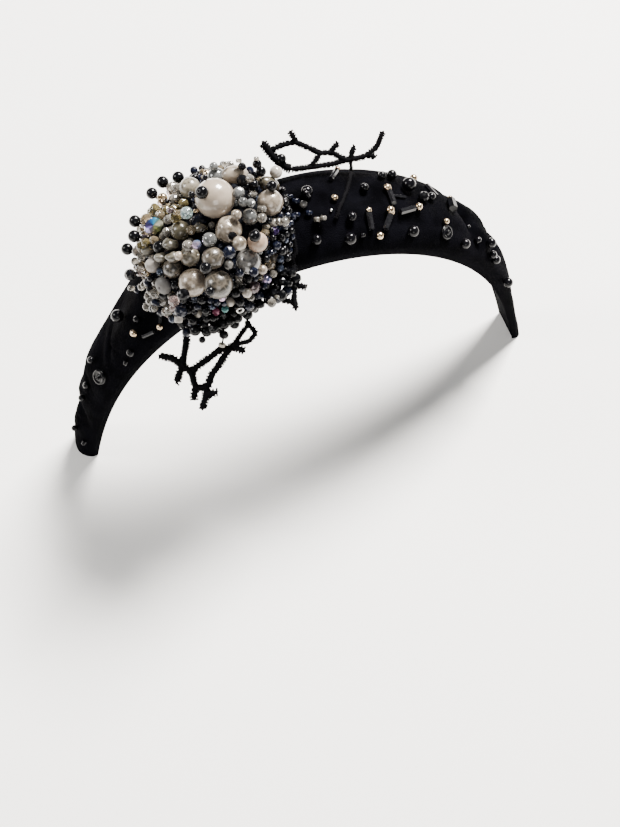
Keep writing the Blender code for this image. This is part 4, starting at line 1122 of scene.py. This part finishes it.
# ---- lace
LOWER_JOINTS = {
    "root": (-17.5, 0.3), "stem": (-20.5, 6), "fork_a": (-24.5, 11.5), "arm_a": (-26, 8), "tip_a": (-30, 4.5),
    "arm_b": (-26.5, 12.8), "tip_b": (-29.5, 15.5), "fork_b": (-22.8, 14.5), "bridge_a": (-16.5, 13.6),
    "bridge_b": (-11.5, 12.7), "fork_c": (-24, 19.5), "tip_c": (-26.5, 23), "fork_d": (-20.5, 21),
    "rise_a": (-18.5, 18.8), "rise_b": (-13, 16), "fork_e": (-8.4, 13.6), "arm_d": (-22.3, 23.5),
    "tip_d": (-25.5, 27), "tip_e": (-17.8, 24), "tip_f": (-5, 17.4), "loop_a": (-4.2, 11.5),
    "loop_b": (-0.3, 9.6), "loop_c": (0.6, 12.8), "loop_d": (-2.5, 15.2), "hold": (0.2, 0.4),
}
LOWER_CHAINS = [
    "root stem fork_a fork_b fork_c fork_d rise_a rise_b fork_e", "fork_a arm_a tip_a", "fork_a arm_b tip_b",
    "fork_b bridge_a bridge_b fork_e", "fork_c tip_c", "fork_d arm_d tip_d", "arm_d tip_e", "fork_e tip_f",
    "fork_e loop_a loop_b", "loop_b loop_c loop_d fork_e",
]
LOWER_THREAD = "loop_b hold"
FRONT_JOINTS = {
    "edge": (20.5, 0.6), "mid": (17.5, 6.5), "fork": (15.2, 11), "end": (14, 14), "spur": (20.8, 9.4),
    "arm": (11.2, 7.4),
}
FRONT_CHAINS = ["edge mid fork end", "mid spur", "fork arm"]
UPPER_JOINTS = {
    "tip_a": (-5.5, 14), "bend_a": (-4, 10.5), "low_a": (-2.5, 8), "low_b": (-1, 5.5), "low_c": (2, 3.2),
    "low_d": (8, 2.2), "low_e": (14, 1.6), "hub": (21, 1.4), "arc": (-0.2, 11.2), "fork_a": (5, 11),
    "tip_b": (3.6, 15.4), "top_a": (10.5, 6.9), "fork_b": (12, 5.6), "down": (9.4, 3.6), "top_b": (15, 5.2),
    "tip_c": (19, 7.6), "top_c": (17.6, 3.2), "tip_d": (23.8, 5.6), "right_a": (26.5, 1.4),
    "right_b": (30.5, 3.4), "tip_e": (33.7, 8), "tip_f": (29.6, -0.2),
}
UPPER_CHAINS = [
    "tip_a bend_a low_a low_b low_c", "low_c low_d low_e hub right_a right_b tip_e",
    "bend_a arc fork_a top_a fork_b top_b tip_c", "fork_a tip_b", "fork_b down low_d",
    "top_b top_c hub tip_d", "right_a tip_f",
]
# Strands that run on over the velvet, in mm along and across
UPPER_STRAND = [(17.5, 10.0), (14.8, 4.5), (12.6, 0.0), (10.4, -4.0), (7.0, -8.8)]
FRONT_STRAND = [(-5.5, -14.5), (-5.0, -11.0), (-4.5, -7.5)]
STRAND_LIFT, STRAND_PHASE, STRAND_THICK = 1.2 * MM, 0.5, 0.62
FRONT_PLANE_OUT, FRONT_PLANE_DROP = 17.6 * MM, 7.0 * MM
REAR_PLANE_ORIGIN = Vector((-0.6, 11.0, 10.3)) * MM
REAR_PLANE_TILT = math.radians(35.0)
LACE_STEP, LACE_SMOOTH = 0.30 * MM, 5
LACE_OUT, LACE_SUNK = 0.75 * MM, 2.0 * MM
CORE_RADIUS, CORE_DEPTH = 0.72 * MM, 0.8 * MM
CORD_OFFSET, CORD_FLAT, CORD_RADIUS, CORD_TWIST, CORD_PHASE = 0.48 * MM, 0.7, 0.36 * MM, 1.6 * MM, 1.3
TAPER_LENGTH, CORD_TAPER, CORE_TAPER = 1.6 * MM, 0.25, 0.3
PICOT_PITCH, PICOT_IN, PICOT_OUT, PICOT_RADIUS = 0.80 * MM, 0.40 * MM, 1.06 * MM, 0.31 * MM
# How much the knots lean, how their length varies and where they narrow
PICOT_LEAN, PICOT_LENGTHS, PICOT_MIDDLE, PICOT_TIP = 0.15, (0.94, 0.10), 0.7, 0.9
LEAN_WAVE, LENGTH_WAVE = 9000, 23000
# Distance of the first and last knot from the ends, as shares of the pitch
PICOT_FIRST, PICOT_LAST = 0.5, 0.3
LEAST_SIDE, UPRIGHT = 0.05, Vector((0.0, 0.0, 1.0))
THREAD_DEPTH, THREAD_RADIUS = 0.5 * MM, 0.30 * MM
WIRE_RADIUS = 0.28 * MM
# Thickness of each twig, and of the chains that differ from the rest, by twig and number
TWIG_THICK = {"lower": 1.24, "front": 1.0, "upper": 1.0}
THICK_CHAINS = {("upper", 0): 1.45, ("lower", 8): 0.85, ("lower", 9): 0.85}
# Beads on the upper twig, by their place in the photograph, and how far along the sight they are sought
LACE_BEADS = [
    # x, y, radius, shape, surface
    (281.2, 158.8, 5.2, "bead", "black"),
]
SOUGHT_STEP, SOUGHT_FROM, SOUGHT_TO = 0.5 * MM, -320, 121


def front_plane(out_along, out):
    local = Vector((out_along * MM, -FRONT_PLANE_OUT, -FRONT_PLANE_DROP))
    local += Vector((0.0, -math.cos(FRINGE_TILT), -math.sin(FRINGE_TILT))) * out * MM
    return CLUSTER @ local


def rear_plane(p, q):
    up = Vector((0.0, math.sin(REAR_PLANE_TILT), math.cos(REAR_PLANE_TILT)))
    return arch_frame(0.0)[0] + REAR_PLANE_ORIGIN + Vector((p * MM, 0.0, 0.0)) + up * q * MM


def lace_line(spots, twig, velvet, depth=CORE_DEPTH):
    """Close-set points through the joints, drawn to the middle of the twig's solid."""
    points = []
    for first, second in zip(spots, spots[1:]):
        count = max(1, round((second - first).length / LACE_STEP))
        points += [first.lerp(second, k / count) for k in range(count)]
    points.append(spots[-1])
    for k, point in enumerate(points):
        near, normal, _, _ = twig.find_nearest(point)
        points[k] = near - normal * depth
    for _ in range(LACE_SMOOTH):
        inner = [(a + b * 2 + c) / 4 for a, b, c in zip(points, points[1:], points[2:])]
        points = [points[0]] + inner + [points[-1]]
    for k, point in enumerate(points):
        near, normal, _, gap = velvet.find_nearest(point)
        if gap < LACE_OUT or ((point - near).dot(normal) < 0 and gap < LACE_SUNK):
            points[k] = near + normal * LACE_OUT
    return points


def lace_strip(shell, line, face_out, phase, thick):
    """Two cords twisted round each other with small knots along both edges."""
    length = [0.0]
    for first, second in zip(line, line[1:]):
        length.append(length[-1] + (second - first).length)
    sides = []
    for k in range(len(line)):
        side = face_out.cross(heading(line, k))
        sides.append(side.normalized() if side.length > LEAST_SIDE else sides[-1] if sides else UPRIGHT)
    to_end = [min(at, length[-1] - at) / TAPER_LENGTH for at in length]
    for turn in (0.0, math.pi):
        cord = []
        for k, point in enumerate(line):
            angle = length[k] / CORD_TWIST * math.pi + turn + phase
            offset = CORD_OFFSET * min(1.0, CORD_TAPER + to_end[k]) * thick
            cord.append(point + (sides[k] * math.cos(angle) + face_out * math.sin(angle) * CORD_FLAT) * offset)
        shell.tube(cord, CORD_RADIUS * thick, 6)
    shell.tube(line, [CORE_RADIUS * thick * min(1.0, CORE_TAPER + share) for share in to_end], 8)
    for edge in (-1.0, 1.0):
        spot = PICOT_PITCH * PICOT_FIRST
        while spot < length[-1] - PICOT_PITCH * PICOT_LAST:
            k = int(np.searchsorted(length, spot))
            side = (sides[k] * edge + heading(line, k) * PICOT_LEAN * math.sin(spot * LEAN_WAVE)).normalized()
            reach = PICOT_LENGTHS[0] + PICOT_LENGTHS[1] * math.sin(spot * LENGTH_WAVE + edge)
            reach *= PICOT_OUT * thick
            shell.tube([line[k] + side * at for at in (PICOT_IN * thick, reach * PICOT_MIDDLE, reach)],
                       [PICOT_RADIUS, PICOT_RADIUS, PICOT_RADIUS * PICOT_TIP], 6)
            spot += PICOT_PITCH


def make_lace(pile):
    front = cluster_way(0.0, -math.sin(FRINGE_TILT), math.cos(FRINGE_TILT))
    rear = Vector((0.0, -math.cos(REAR_PLANE_TILT), math.sin(REAR_PLANE_TILT)))
    twigs = [
        ("lower", LOWER_JOINTS, LOWER_CHAINS, front_plane, front, None, ()),
        ("front", FRONT_JOINTS, FRONT_CHAINS, front_plane, front, "edge", FRONT_STRAND),
        ("upper", UPPER_JOINTS, UPPER_CHAINS, rear_plane, rear, "hub", UPPER_STRAND),
    ]
    for name, joints, chains, plane, face_out, hold, strand in twigs:
        twig = tree_of(NODES[f"lace_twig_{name}"])
        shell = Shell()
        for number, chain in enumerate(chains):
            line = lace_line([plane(*joints[joint]) for joint in chain.split()], twig, pile.velvet)
            thick = THICK_CHAINS.get((name, number), TWIG_THICK[name])
            lace_strip(shell, line, face_out, number * CORD_PHASE, thick)
        if name == "lower":
            spots = [plane(*joints[joint]) for joint in LOWER_THREAD.split()]
            shell.tube(lace_line(spots, twig, pile.velvet, THREAD_DEPTH), THREAD_RADIUS, 8)
        if strand:
            seats = [crown_seat(pile.velvet, *spot) for spot in strand]
            spots = [plane(*joints[hold])] + [place + normal * STRAND_LIFT for place, normal in seats]
            out = sum((normal for _, normal in seats), Vector()).normalized()
            lace_strip(shell, lace_line(spots, twig, pile.velvet), out, STRAND_PHASE, STRAND_THICK)
        shell.make(f"lace_{name}", "thread", f"lace_twig_{name}")


def make_lace_beads(pile):
    """Beads sewn on the upper twig, each where the line of sight passes closest to it."""
    twig = tree_of(NODES["lace_twig_upper"])
    for x, y, pixels, shape, surface in LACE_BEADS:
        ray = pixel_ray(x, y)
        spots = [CAM_PLACE + ray * (DISTANCE + k * SOUGHT_STEP) for k in range(SOUGHT_FROM, SOUGHT_TO)]
        place = min(spots, key=lambda spot: twig.find_nearest(spot)[3])
        matrix = bead_matrix(place, across_view(x, y), pixels_to_metres(pixels, place))
        pile.strands[surface].add(shape, matrix)


def make_wires(pile):
    shell = Shell()
    for points in pile.wires:
        shell.tube(points, WIRE_RADIUS, 6)
    shell.make("fringe_wire", "thread")


# ---- stage
FLOOR_SIZE = 3.0
SKY, SKY_STRENGTH = (0.95, 0.97, 1.0, 1.0), 0.25
LIGHT_AIM = (0.0, 0.0, 0.06)
LIGHTS = [
    # name, place, size, power, colour
    ("window", (0.55, 0.45, 1.05), 0.40, 95.0, (1.0, 0.975, 0.94)),
    ("left_window", (-0.95, 0.30, 0.75), 0.40, 12.0, (1.0, 0.99, 0.97)),
    ("fill", (-0.20, -1.00, 0.55), 0.50, 4.0, (1.0, 0.97, 0.93)),
]


def make_floor():
    corners = [(x * FLOOR_SIZE, y * FLOOR_SIZE, 0.0) for x, y in ((-1, -1), (1, -1), (1, 1), (-1, 1))]
    floor = mesh_object("floor", corners, [(0, 1, 2, 3)], smooth=False)
    floor.data.materials.append(speckled("floor", (0.90, 0.885, 0.86), (0.92, 0.905, 0.88), 3.0, 0.80))


def make_lights():
    world = bpy.data.worlds.new("studio")
    world.use_nodes = True
    world.node_tree.nodes["Background"].inputs["Color"].default_value = SKY
    world.node_tree.nodes["Background"].inputs["Strength"].default_value = SKY_STRENGTH
    bpy.context.scene.world = world
    for name, place, size, power, colour in LIGHTS:
        data = bpy.data.lights.new(name, "AREA")
        data.shape = "SQUARE"
        data.size, data.energy, data.color = size, power, colour
        turn = (Vector(place) - Vector(LIGHT_AIM)).to_track_quat("Z", "Y").to_matrix().to_4x4()
        link_object(name, data).matrix_world = Matrix.Translation(place) @ turn


SURFACES = bead_materials()
make_camera()
make_floor()
make_lights()
VELVET = make_velvet()
dress(NODES["cluster_base"], "felt")
PILE = Pile(tree_of(VELVET), tree_of(NODES["cluster_base"]))
for make in (make_main_beads, make_capped_beads, make_pins, make_band_rounds, make_ground, make_band_seeds,
             make_fringe, make_rim_beads_and_shade):
    make(PILE)
KEPT_FREE = make_photo_beads(PILE)
make_photo_pins(PILE)
make_filler(PILE, KEPT_FREE)
make_lace(PILE)
make_lace_beads(PILE)
make_wires(PILE)
for surface_name, strand_of in PILE.strands.items():
    if strand_of.total:
        strand_of.make(surface_name)
